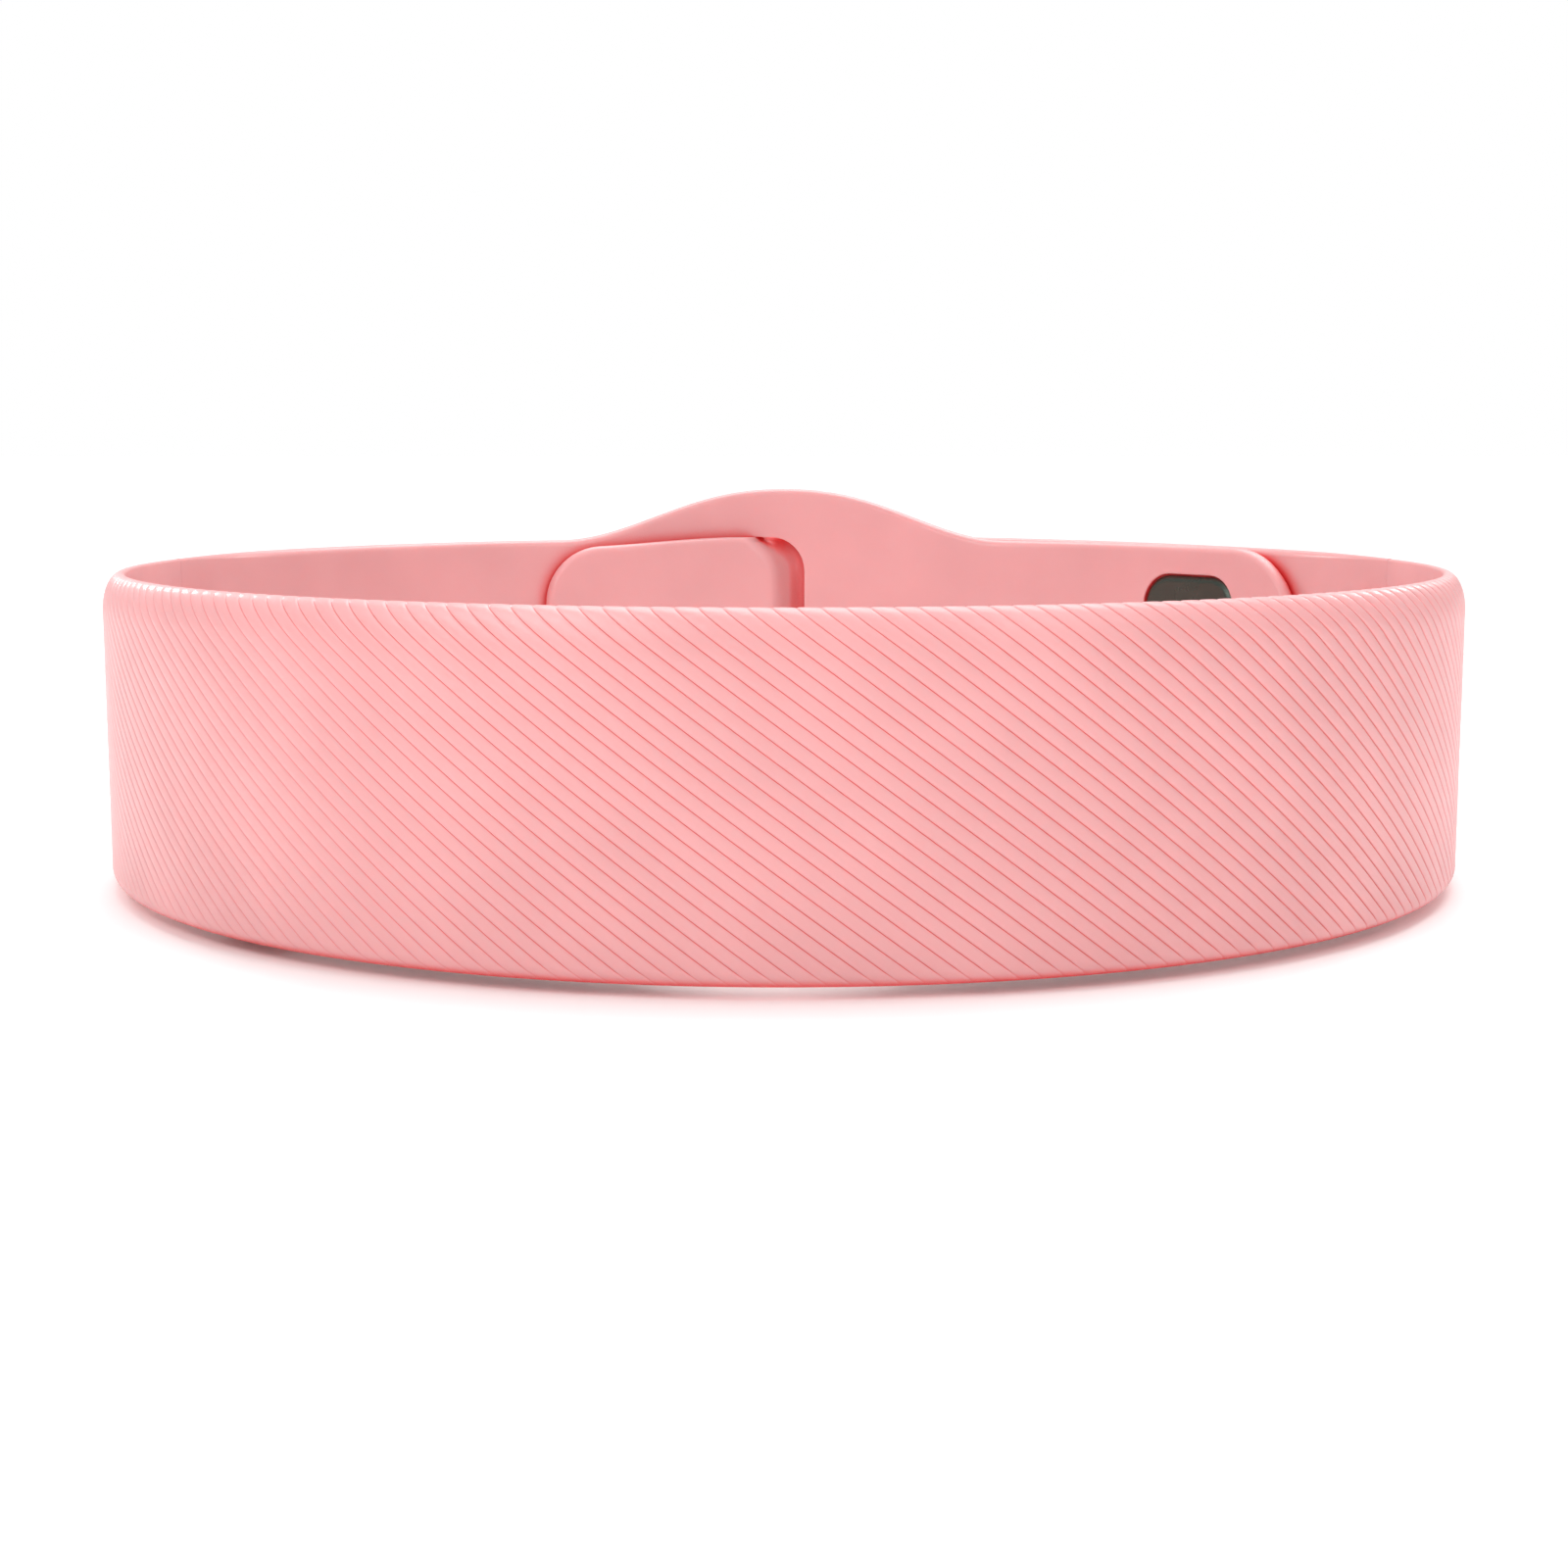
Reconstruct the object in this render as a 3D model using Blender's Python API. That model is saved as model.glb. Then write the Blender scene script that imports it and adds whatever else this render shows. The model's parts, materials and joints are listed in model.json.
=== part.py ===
"""A wrap-around eye massager: a ribbed silicone front with two heated, vibrating eye pads
behind it, and two silicone straps that close at the back of the head with a pin plate and a
tucked-in tail.

Frame: the mask stands on its lower rim at z = 0. -Y is the front of the ring (the outer side
of the front cover), +Y the back of the head, +X the wearer's left, +Z up. Places round the
ring are given as a turn in degrees: 0 at the front, 90 at +X, 180 at the back, -90 at -X. A
depth is the distance inwards from the ring's outer surface.
"""

from math import atan2, cos, pi, radians, sin, sqrt, tau

import bmesh
import bpy
from mathutils import Matrix, Vector

MM = 0.001

# The ring
HALF_WIDTH = 94.0 * MM
HALF_DEPTH = 89.0 * MM
HEIGHT = 41.5 * MM
RING_RADIUS = (HALF_WIDTH + HALF_DEPTH) / 2
RIM = 5.6 * MM
CLEARANCE = 0.3 * MM

# The front cover, a channel of silicone with a lip along each rim
COVER_END = 99.9
COVER_WALL = 2.0 * MM
COVER_LIP = 2.2 * MM
COVER_TOP = 3.1 * MM
COVER_END_TOP = 6.0 * MM
LIP_DEPTH = 3.1 * MM
CROWN_DEPTH = 2.5 * MM
CROWN_HEIGHT = 5.1 * MM
BOTTOM_ROUNDING = 2.0 * MM

# The straps
STRAP = 2.6 * MM
LAYER = STRAP + CLEARANCE
STRAP_EDGE = 1.1 * MM
TONGUE = 1.5 * MM
TONGUE_HIGH = 35.1 * MM
TONGUE_START = 70.3
TONGUE_END = 101.2
STRAP_START = 100.15
ROOT_START = 100.4
ROOT_END = 112.0
SLOT_STRAP_TIP = 243.8
TAIL_TIP = 207.8
HUMP_HEIGHT = 8.7 * MM
HUMP_REACH = 25.0
SLOT_START = 177.7
SLOT_END = 187.5
SLOT_LOW = 4.5 * MM
SLOT_HIGH = 42.0 * MM
SLOT_ROUNDING = 7.8 * MM
TUCK_START = 178.4
TUCK_LENGTH = 5.0
TAIL_LOW = 5.2 * MM
TAIL_HIGH = 41.6 * MM
TAIL_TAPER = 1.5 * MM

# The closure
PIN_TURN = 131.1
PIN_SPREAD = 9.0 * MM
PIN_RADIUS = 1.6 * MM
PIN_HEAD_RADIUS = 2.7 * MM
HOLE_RADIUS = 1.9 * MM
HOLE_PITCH = 5.5
HOLE_COUNT = 8
PLATE_WIDTH = 19.0 * MM
PLATE_HEIGHT = 31.6 * MM
PLATE_THICKNESS = 0.8 * MM
PLATE_ROUNDING = 5.0 * MM
PLATE_RECESS = 1.1 * MM

# The housing behind the front cover
HOUSING_LOW = 2.5 * MM
HOUSING_HIGH = 38.1 * MM
HOUSING_BACK = 2.3 * MM
HOUSING_WALL = 1.4 * MM
HOUSING_DEPTH = 10.5 * MM
DEEP_END = 52.0
SHALLOW_START = 66.0
POCKET_END = 62.0
ARM_END = 85.5
ARM_FACE = 3.5 * MM
FACE_PLATE = 1.5 * MM
FACE_PLATE_END = 69.8
NOSE_RISE = 11.0 * MM
NOSE_REACH = 12.0

# The eye modules
EYE_TURN = 20.5
EYE_HEIGHT = HEIGHT / 2
OPENING_WIDTH = 40.0 * MM
OPENING_HEIGHT = 24.0 * MM
OPENING_ROUNDING = 8.0 * MM
PAD_WIDTH = 46.0 * MM
PAD_HEIGHT = 30.0 * MM
PAD_ROUNDING = 11.0 * MM
PAD_THICKNESS = 5.6 * MM
MOTOR_DEPTH = 6.0 * MM
MOTOR_RADIUS = 1.9 * MM
MOTOR_LENGTH = 10.0 * MM
MOTOR_LOW = 18.0 * MM
SHAFT_RADIUS = 0.4 * MM
WEIGHT_LENGTH = 4.0 * MM

# Electronics
BOARD_TURN = 44.0
BUTTON_TURNS = {"power_button": 89.6, "mode_button": 96.2}
BUTTON_HEIGHT = 24.0 * MM
BUTTON_SIZE = (5.0 * MM, 11.0 * MM)
PORT_TURN = -45.0
PORT_DEPTH = 7.3 * MM
FLAP_HINGE_DEPTH = 9.4 * MM
FLAP_HINGE_HEIGHT = 1.4 * MM
LEAD_RADIUS = 0.6 * MM
RIBBON_THICKNESS = 0.18 * MM
RIBBON_LOW = 18.0 * MM
RIBBON_HIGH = 23.0 * MM

# Fasteners
SCREW_RADIUS = 0.9 * MM
SCREW_HEAD_RADIUS = 1.8 * MM
SCREW_HEAD = 0.8 * MM
BOSS_RADIUS = 2.0 * MM
CLAMP_TURN = 78.0
CLAMP_HEIGHTS = (10.0 * MM, 31.5 * MM)

# Colour, roughness, metallic
FINISHES = {
    "pink_silicone": ((0.87, 0.36, 0.36), 0.55, 0.0),
    "soft_silicone": ((0.90, 0.50, 0.48), 0.60, 0.0),
    "pink_plastic": ((0.84, 0.42, 0.42), 0.40, 0.0),
    "white_plastic": ((0.82, 0.80, 0.78), 0.45, 0.0),
    "dark_plastic": ((0.05, 0.05, 0.06), 0.45, 0.0),
    "clear_plastic": ((0.85, 0.88, 0.90), 0.15, 0.0),
    "gunmetal": ((0.12, 0.13, 0.12), 0.30, 1.0),
    "steel": ((0.60, 0.60, 0.60), 0.25, 1.0),
    "circuit_board": ((0.02, 0.16, 0.08), 0.40, 0.0),
    "copper_film": ((0.70, 0.33, 0.12), 0.35, 0.6),
    "battery_foil": ((0.45, 0.47, 0.50), 0.35, 0.8),
    "red_lead": ((0.65, 0.03, 0.03), 0.45, 0.0),
    "black_lead": ((0.02, 0.02, 0.02), 0.45, 0.0),
}


def ring_point(turn, depth, height):
    """The place at this turn round the ring, this far in from its outer surface."""
    angle = radians(turn)
    surface = Vector((HALF_WIDTH * sin(angle), -HALF_DEPTH * cos(angle), height))
    return surface - outward(turn) * depth


def outward(turn):
    angle = radians(turn)
    return Vector((sin(angle) / HALF_WIDTH, -cos(angle) / HALF_DEPTH, 0)).normalized()


def ring_frame(turn, depth, height):
    """Axes at a place on the ring: X along it, Y inwards, Z up."""
    inwards = -outward(turn)
    along = inwards.cross(Vector((0, 0, 1)))
    frame = Matrix((along, inwards, (0, 0, 1))).transposed().to_4x4()
    frame.translation = ring_point(turn, depth, height)
    return frame


def degrees_along(length):
    """The turn that covers this length of the ring."""
    return length / RING_RADIUS * 180 / pi


def smooth(value, start, end):
    """0 at start and 1 at end, with a soft bend at both."""
    share = min(1.0, max(0.0, (value - start) / (end - start)))
    return share * share * (3 - 2 * share)


def between(start, end, steps):
    return [start + (end - start) * i / steps for i in range(steps + 1)]


def finish(name):
    found = bpy.data.materials.get(name)
    if found:
        return found
    colour, roughness, metallic = FINISHES[name]
    made = bpy.data.materials.new(name)
    made.use_nodes = True
    shader = made.node_tree.nodes["Principled BSDF"]
    shader.inputs["Base Color"].default_value = (*colour, 1)
    shader.inputs["Roughness"].default_value = roughness
    shader.inputs["Metallic"].default_value = metallic
    return made


def new_object(name, bm, finish_name=None, smooth_below=35):
    """Turns the bmesh into a named object, with its faces pointing out and its round sides smooth."""
    bmesh.ops.recalc_face_normals(bm, faces=bm.faces)
    if bm.calc_volume(signed=True) < 0:
        bmesh.ops.reverse_faces(bm, faces=bm.faces)
    mesh = bpy.data.meshes.new(name)
    bm.to_mesh(mesh)
    bm.free()
    mesh.shade_smooth()
    mesh.set_sharp_from_angle(angle=radians(smooth_below))
    made = bpy.data.objects.new(name, mesh)
    bpy.context.scene.collection.objects.link(made)
    if finish_name:
        mesh.materials.append(finish(finish_name))
    return made


def swept(name, turns, section_at, finish_name=None):
    """A bar that follows the ring through these turns. section_at(turn) gives its (depth, height) corners."""
    sections = [section_at(turn) for turn in turns]
    corners = len(sections[0])
    last = len(turns) - 1
    bm = bmesh.new()
    bmesh.ops.create_cone(bm, cap_ends=True, segments=corners, radius1=1, radius2=1, depth=1)
    lengthwise = [e for e in bm.edges if abs(e.verts[0].co.z - e.verts[1].co.z) > 0.5]
    bmesh.ops.subdivide_edges(bm, edges=lengthwise, cuts=last - 1, use_grid_fill=True)
    for vertex in bm.verts:
        round_it = atan2(vertex.co.y, vertex.co.x) / tau - 1 / 4  # the cone starts a quarter round
        corner = round(round_it * corners) % corners
        station = round((vertex.co.z + 0.5) * last)
        vertex.co = ring_point(turns[station], *sections[station][corner])
    return new_object(name, bm, finish_name)


def arc(centre, radius, start, end, steps):
    """Corners of a round stretch of a section, from one angle to another, in degrees."""
    return [
        (centre[0] + radius * cos(radians(a)), centre[1] + radius * sin(radians(a)))
        for a in between(start, end, steps)
    ]


def round_section(outer, inner, low, high, rounding, steps=1, rows=1):
    """A rectangle of (depth, height) with round corners, its tall sides divided into rows."""
    r = min(rounding, (inner - outer) / 2 * 0.98, (high - low) / 2 * 0.98)
    rise = between(low + r, high - r, rows)[1:-1]
    return (
        arc((outer + r, low + r), r, 180, 270, steps)
        + arc((inner - r, low + r), r, 270, 360, steps)
        + [(inner, z) for z in rise]
        + arc((inner - r, high - r), r, 0, 90, steps)
        + arc((outer + r, high - r), r, 90, 180, steps)
        + [(outer, z) for z in reversed(rise)]
    )


def square_section(outer, inner, low, high):
    return [(outer, low), (inner, low), (inner, high), (outer, high)]


def block(name, size, at, finish_name=None, rounding=0.0, round_all=False, steps=3):
    """A box of (along, inwards, up) at a place on the ring.

    Its edges that run inwards are rounded, or all of them."""
    bm = bmesh.new()
    bmesh.ops.create_cube(bm, size=1)
    bmesh.ops.scale(bm, vec=size, verts=bm.verts)
    if rounding:
        edges = [
            e for e in bm.edges
            if round_all or abs(e.verts[0].co.y - e.verts[1].co.y) > size[1] / 2
        ]
        bmesh.ops.bevel(
            bm, geom=edges, offset=rounding, segments=steps, profile=0.5,
            affect="EDGES", material=-1,
        )
    made = new_object(name, bm, finish_name)
    made.matrix_world = ring_frame(*at)
    return made


def rod(name, radius, length, at, finish_name=None, upright=False, sides=12):
    """A round bar at a place on the ring, with its axis pointing inwards or, if upright, up."""
    bm = bmesh.new()
    bmesh.ops.create_cone(bm, cap_ends=True, segments=sides, radius1=radius, radius2=radius, depth=length)
    if not upright:
        bmesh.ops.rotate(bm, matrix=Matrix.Rotation(radians(-90), 3, "X"), verts=bm.verts)
    made = new_object(name, bm, finish_name)
    made.matrix_world = ring_frame(*at)
    return made


def combine(target, tool, operation):
    """A Boolean modifier on target. The tool stays in the scene as a hidden wire guide."""
    modifier = target.modifiers.new(tool.name, "BOOLEAN")
    modifier.operation = operation
    modifier.object = tool
    tool.hide_render = True
    tool.display_type = "WIRE"


def cut(target, *tools):
    for tool in tools:
        combine(target, tool, "DIFFERENCE")


def join(target, *tools):
    for tool in tools:
        combine(target, tool, "UNION")


# ---- The silicone: front cover and straps ----


def cover_section(turn):
    """A channel, open inwards. Its outer side leans in towards the top, as a tall quarter oval,
    and its upper lip is thicker at its ends, where it meets the straps."""
    edge = 0.5 * MM
    lip = COVER_TOP + (COVER_END_TOP - COVER_TOP) * smooth(abs(turn), 89.9, 94.9)
    crown = [
        (CROWN_DEPTH * (1 - x), HEIGHT - CROWN_HEIGHT * (1 - z))
        for x, z in arc((0, 0), 1, 0, 90, 6)
    ]
    return (
        arc((LIP_DEPTH - edge, edge), edge, 0, -90, 2)
        + arc((BOTTOM_ROUNDING, BOTTOM_ROUNDING), BOTTOM_ROUNDING, 270, 180, 3)
        + crown
        + arc((LIP_DEPTH - edge, HEIGHT - edge), edge, 90, 0, 2)
        + [
            (LIP_DEPTH, HEIGHT - lip),
            (COVER_WALL, HEIGHT - lip),
            (COVER_WALL, COVER_LIP),
            (LIP_DEPTH, COVER_LIP),
        ]
    )


def make_front_cover():
    cover = swept(
        "front_cover", between(-COVER_END, COVER_END, 40), cover_section, "pink_silicone"
    )
    for name, turn in BUTTON_TURNS.items():
        opening = (BUTTON_SIZE[0] + 0.6 * MM, 8 * MM, BUTTON_SIZE[1] + 0.6 * MM)
        at = (turn, 0, BUTTON_HEIGHT)
        cut(cover, block(name + "_opening", opening, at, rounding=2.6 * MM))
    window = (BUTTON_TURNS["power_button"], 0, BUTTON_HEIGHT - 10 * MM)
    cut(cover, rod("light_opening", 1.3 * MM, 8 * MM, window, sides=12))
    return cover


def slot_strap_face(turn):
    """Depth of the slot strap's outer face: it steps in by a layer where the other strap lies over it."""
    return LAYER * smooth(turn, 180 - 42, 180)


def tail_strap_face(turn, height):
    """Depth of the tail strap's outer face: on the outside as far as the slot, then through it to
    the inside. It turns in at the same distance from the slot's edge all the way up, so it
    starts later where the slot's corners are round."""
    to_end = min(height - SLOT_LOW, SLOT_HIGH - height)
    start = TUCK_START + degrees_along(narrowing(to_end, SLOT_ROUNDING))
    inside = slot_strap_face(360 - turn) + LAYER
    return inside * smooth(turn, start, start + TUCK_LENGTH)


def hump(turn):
    """Rise of the slot strap's upper edge, which leaves material above the slot."""
    share = min(1.0, abs(turn - 180) / HUMP_REACH)
    return HUMP_HEIGHT * (1 + cos(pi * share**1.15)) / 2


def narrowing(distance, rounding):
    """How far a strap's edge has come in, this far from its round tip."""
    reach = min(max(distance, 0.0), rounding)
    return rounding - sqrt(rounding**2 - (rounding - reach) ** 2)


def strap_section(turn, face, tip, tip_rounding, low, high, rows):
    """Section of either strap. turn grows from the strap's root to its tip, and
    face(turn, height) is the depth of its outer face."""
    thickness = STRAP + (LIP_DEPTH - STRAP) * (1 - smooth(turn, STRAP_START, ROOT_END))
    from_tip = radians(tip - turn) * RING_RADIUS
    come_in = narrowing(from_tip, tip_rounding)
    soften = 0.7 * MM * (1 - min(1.0, from_tip / (1.0 * MM)))
    section = round_section(
        soften, thickness - soften, low(turn) + come_in, high(turn) - come_in, STRAP_EDGE,
        rows=rows,
    )
    return [(face(turn, height) + depth, height) for depth, height in section]


def strap_turns(tip, tip_rounding, pitch):
    """Stations along a strap: an even pitch, with closer ones at the root and round the tip."""
    tip_start = tip - degrees_along(tip_rounding)
    steps = round((tip_start - ROOT_END) / pitch)
    tip_shares = (0.15, 0.35, 0.55, 0.72, 0.85, 0.94, 0.985, 1.0)
    return (
        between(STRAP_START, ROOT_END, 5)
        + between(ROOT_END, tip_start, steps)[1:]
        + [tip_start + (tip - tip_start) * share for share in tip_shares]
    )


def mirrored(turns, section_at):
    """The same sweep on the other side of the ring."""
    return [-turn for turn in turns], lambda turn: section_at(-turn)


def add_tongue(strap, side):
    """The strap's root thickens on its inner side and carries a tongue that the clamp holds."""

    def root_section(turn):
        sink = smooth(abs(turn), ROOT_START, ROOT_END)
        inner = RIM + CLEARANCE + (STRAP - RIM - 2 * CLEARANCE) * sink
        return round_section(STRAP / 2, inner, HOUSING_LOW, TONGUE_HIGH, 0.3 * MM)

    def tongue_section(turn):
        inset = 0.2 * MM
        low, high = HOUSING_LOW + inset, TONGUE_HIGH - inset
        return round_section(RIM - TONGUE, RIM, low, high, 0.3 * MM)

    root_turns = [side * turn for turn in between(ROOT_START, ROOT_END, 5)]
    tongue_turns = [side * turn for turn in between(TONGUE_START, TONGUE_END, 8)]
    root = swept(strap.name + "_root", root_turns, root_section)
    tongue = swept(strap.name + "_tongue", tongue_turns, tongue_section)
    join(strap, root, tongue)
    cut(strap, *clamp_holes(strap.name, side * CLAMP_TURN))


def make_slot_strap():
    """The strap on the -X side. It carries the slot near the middle of the back and the pins at its end."""
    rounding = 15 * MM

    def section(turn):
        return strap_section(
            turn, lambda turn, height: slot_strap_face(turn), SLOT_STRAP_TIP, rounding,
            lambda turn: 0.0, lambda turn: HEIGHT + hump(turn), 1,
        )

    turns, section_at = mirrored(strap_turns(SLOT_STRAP_TIP, rounding, 3.6), section)
    strap = swept("slot_strap", turns, section_at, "pink_silicone")
    cut(strap, slot_cutter("slot_cutter", SLOT_START, SLOT_ROUNDING, 5))
    # The end that the tail covers is squarer, so the tail's edges clear it where they turn in.
    cut(strap, slot_cutter("slot_end_cutter", (SLOT_START + SLOT_END) / 2, 2.0 * MM, 2))
    recess = plate_bar("plate_recess_cutter", LAYER + STRAP - PLATE_RECESS, 8 * MM, CLEARANCE)
    cut(strap, recess, *pin_holes("slot_strap", [PIN_TURN], PIN_RADIUS + 0.1 * MM))
    add_tongue(strap, -1)


def slot_cutter(name, start, rounding, steps):
    width = radians(SLOT_END - start) * RING_RADIUS
    at = ((start + SLOT_END) / 2, LAYER, (SLOT_LOW + SLOT_HIGH) / 2)
    return block(name, (width, 30 * MM, SLOT_HIGH - SLOT_LOW), at, rounding=rounding, steps=steps)


def pin_holes(owner, turns, radius):
    return [
        rod(f"{owner}_hole_{i}_{side}", radius, 16 * MM, (turn, LAYER, EYE_HEIGHT + side * PIN_SPREAD))
        for i, turn in enumerate(turns)
        for side in (-1, 1)
    ]


def make_tail_strap():
    """The strap on the +X side. Its holes take the pins, and its tail is tucked through the slot."""
    rounding = 10 * MM

    def low(turn):
        narrowed = TAIL_LOW * smooth(turn, 116, 172)
        return narrowed + TAIL_TAPER * smooth(turn, 185, 204)

    def high(turn):
        narrowed = (HEIGHT - TAIL_HIGH) * smooth(turn, 116, 172)
        return HEIGHT - narrowed - TAIL_TAPER * smooth(turn, 185, 204)

    def section(turn):
        return strap_section(turn, tail_strap_face, TAIL_TIP, rounding, low, high, 12)

    strap = swept("tail_strap", strap_turns(TAIL_TIP, rounding, 1.6), section, "pink_silicone")
    first = PIN_TURN - HOLE_PITCH
    turns = [first + i * HOLE_PITCH for i in range(HOLE_COUNT)]
    cut(strap, *pin_holes("tail_strap", turns, HOLE_RADIUS))
    add_tongue(strap, 1)


# ---- The closure ----


def plate_bar(name, outer, thickness, margin, finish_name=None):
    """A curved plate with round corners at the pins, grown by a margin on each side."""
    half = degrees_along(PLATE_WIDTH / 2 + margin)
    rounding = PLATE_ROUNDING + margin
    round_turn = degrees_along(rounding)
    shares = (0.0, 0.03, 0.1, 0.22, 0.4, 0.65, 1.0)
    start = [PIN_TURN - half + round_turn * share for share in shares]
    end = [2 * PIN_TURN - turn for turn in reversed(start)]
    middle = between(start[-1], end[0], 4)[1:-1]

    def section(turn):
        from_edge = radians(half - abs(turn - PIN_TURN)) * RING_RADIUS
        come_in = narrowing(from_edge, rounding) - margin
        low = EYE_HEIGHT - PLATE_HEIGHT / 2 + come_in
        high = EYE_HEIGHT + PLATE_HEIGHT / 2 - come_in
        return square_section(outer, outer + thickness, low, high)

    return swept(name, start + middle + end, section, finish_name)


def make_closure():
    """The metal plate set in the slot strap's inner face, and the two pins riveted in it."""
    plate_face = LAYER + STRAP - PLATE_RECESS + 0.2 * MM
    plate_bar("pin_plate", plate_face, PLATE_THICKNESS, 0.0, "gunmetal")
    neck_end = plate_face - 0.15 * MM
    for name, side in (("lower_pin", -1), ("upper_pin", 1)):
        pin_turned(name, neck_end, EYE_HEIGHT + side * PIN_SPREAD)


def pin_turned(name, inner_end, height):
    """A turned pin: a shank through both straps and a domed head outside them."""
    head_base = -CLEARANCE
    head_height = 1.5 * MM
    profile = [(0, inner_end), (PIN_RADIUS, inner_end), (PIN_RADIUS, head_base)]
    profile += [
        (PIN_HEAD_RADIUS * cos(a), head_base - head_height * sin(a))
        for a in (0, 0.35, 0.75, 1.15)
    ]
    profile.append((0, head_base - head_height))
    bm = bmesh.new()
    points = [bm.verts.new((radius, depth, 0)) for radius, depth in profile]
    edges = [bm.edges.new(pair) for pair in zip(points, points[1:])]
    bmesh.ops.spin(
        bm, geom=points + edges, cent=(0, 0, 0), axis=(0, 1, 0), angle=tau, steps=16,
        use_merge=True, use_duplicate=False,
    )
    bmesh.ops.remove_doubles(bm, verts=bm.verts, dist=1e-6)
    pin = new_object(name, bm, "gunmetal")
    pin.matrix_world = ring_frame(PIN_TURN, 0, height)
    return pin


# ---- The housing ----


def face_depth(turn):
    """Depth of the face plate's inner face: deep behind the eyes, level with the rim at the temples."""
    return HOUSING_DEPTH + (RIM - HOUSING_DEPTH) * smooth(abs(turn), DEEP_END, SHALLOW_START)


def housing_low(turn):
    """Lower edge of the housing, raised over the bridge of the nose."""
    share = min(1.0, abs(turn) / NOSE_REACH)
    return HOUSING_LOW + NOSE_RISE * (1 + cos(pi * share)) / 2


def housing_section(turn):
    wall_end = face_depth(turn) - FACE_PLATE - CLEARANCE
    arm = smooth(abs(turn), POCKET_END + 1, FACE_PLATE_END)
    inner = wall_end + (ARM_FACE - wall_end) * arm
    return square_section(HOUSING_BACK, inner, housing_low(turn), HOUSING_HIGH)


def pocket_section(turn):
    floor = HOUSING_BACK + HOUSING_WALL
    return square_section(
        floor, 16 * MM, housing_low(turn) + HOUSING_WALL, HOUSING_HIGH - HOUSING_WALL
    )


FACE_SCREWS = {
    "face_screw_centre": (0.0, 30.5 * MM),
    "face_screw_left_upper": (50.5, 34.2 * MM),
    "face_screw_left_lower": (50.5, 6.6 * MM),
    "face_screw_right_upper": (-50.5, 34.2 * MM),
    "face_screw_right_lower": (-50.5, 6.6 * MM),
}


def make_housing_shell():
    shell = swept("housing_shell", between(-ARM_END, ARM_END, 46), housing_section, "white_plastic")
    pocket = swept("pocket_cutter", between(-POCKET_END, POCKET_END, 31), pocket_section)
    cut(shell, pocket)
    for name, (turn, height) in FACE_SCREWS.items():
        top = face_depth(turn) - FACE_PLATE - CLEARANCE
        floor = HOUSING_BACK + HOUSING_WALL / 2
        at = (turn, (floor + top) / 2, height)
        join(shell, rod(name + "_boss", BOSS_RADIUS, top - floor, at, sides=12))
        at = (turn, top, height)
        cut(shell, rod(name + "_thread", SCREW_RADIUS + 0.05 * MM, 7 * MM, at, sides=12))
    for i, (along, up) in enumerate(((-8, -9), (-8, 9), (8, -9), (8, 9))):
        post_at = (BOARD_TURN + degrees_along(along * MM), 3.5 * MM, EYE_HEIGHT + up * MM)
        join(shell, rod(f"board_post_{i}", 1.2 * MM, 1.2 * MM, post_at, sides=8))
    notch_at = (PORT_TURN, PORT_DEPTH + 0.6 * MM, HOUSING_LOW)
    cut(shell, block("port_notch_cutter", (9.8 * MM, 4.2 * MM, 8 * MM), notch_at))
    cut(shell, swept("ribbon_notch_cutter", between(57, 71.3, 5), ribbon_notch_section))
    cut(shell, *clamp_holes("left_arm", CLAMP_TURN), *clamp_holes("right_arm", -CLAMP_TURN))


def ribbon_depth(turn):
    """Outer face of the button ribbon: off the pocket's floor, then down onto the arm."""
    return 3.7 * MM + 0.45 * MM * (1 - smooth(turn, 56, 64))


def ribbon_notch_section(turn):
    outer = ribbon_depth(turn)
    return square_section(
        outer - 0.35 * MM, outer + 2.5 * MM, RIBBON_LOW - 0.6 * MM, RIBBON_HIGH + 0.6 * MM
    )


def make_face_plate():
    def section(turn):
        inner = face_depth(turn)
        return square_section(inner - FACE_PLATE, inner, housing_low(turn), HOUSING_HIGH)

    plate = swept(
        "face_plate", between(-FACE_PLATE_END, FACE_PLATE_END, 38), section, "pink_plastic"
    )
    for side in (-1, 1):
        size = (OPENING_WIDTH, 12 * MM, OPENING_HEIGHT)
        at = (side * EYE_TURN, HOUSING_DEPTH, EYE_HEIGHT)
        cut(plate, block(f"eye_cutter_{side}", size, at, rounding=OPENING_ROUNDING))
    for name, (turn, height) in FACE_SCREWS.items():
        inner = face_depth(turn)
        clearance = rod(name + "_clearance", SCREW_RADIUS + 0.2 * MM, 8 * MM, (turn, inner, height))
        bore_at = (turn, inner + 0.05 * MM, height)
        bore = rod(name + "_counterbore", SCREW_HEAD_RADIUS + CLEARANCE, 2 * MM, bore_at)
        cut(plate, clearance, bore)
    return plate


def screw(name, turn, head_face, height, length):
    """A cross-head screw whose head's outer face is at this depth and whose shank points outwards."""
    head_at = (turn, head_face - SCREW_HEAD / 2, height)
    made = rod(name, SCREW_HEAD_RADIUS, SCREW_HEAD, head_at, "steel")
    shank_at = (turn, head_face - SCREW_HEAD / 2 - length / 2, height)
    join(made, rod(name + "_shank", SCREW_RADIUS, length, shank_at, sides=12))
    for i, size in enumerate(((2.4, 0.5), (0.5, 2.4))):
        slot_size = (size[0] * MM, 0.8 * MM, size[1] * MM)
        cut(made, block(f"{name}_drive_{i}", slot_size, (turn, head_face, height)))
    return made


def make_face_screws():
    for name, (turn, height) in FACE_SCREWS.items():
        screw(name, turn, face_depth(turn) - 0.05 * MM, height, 4.2 * MM)


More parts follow.
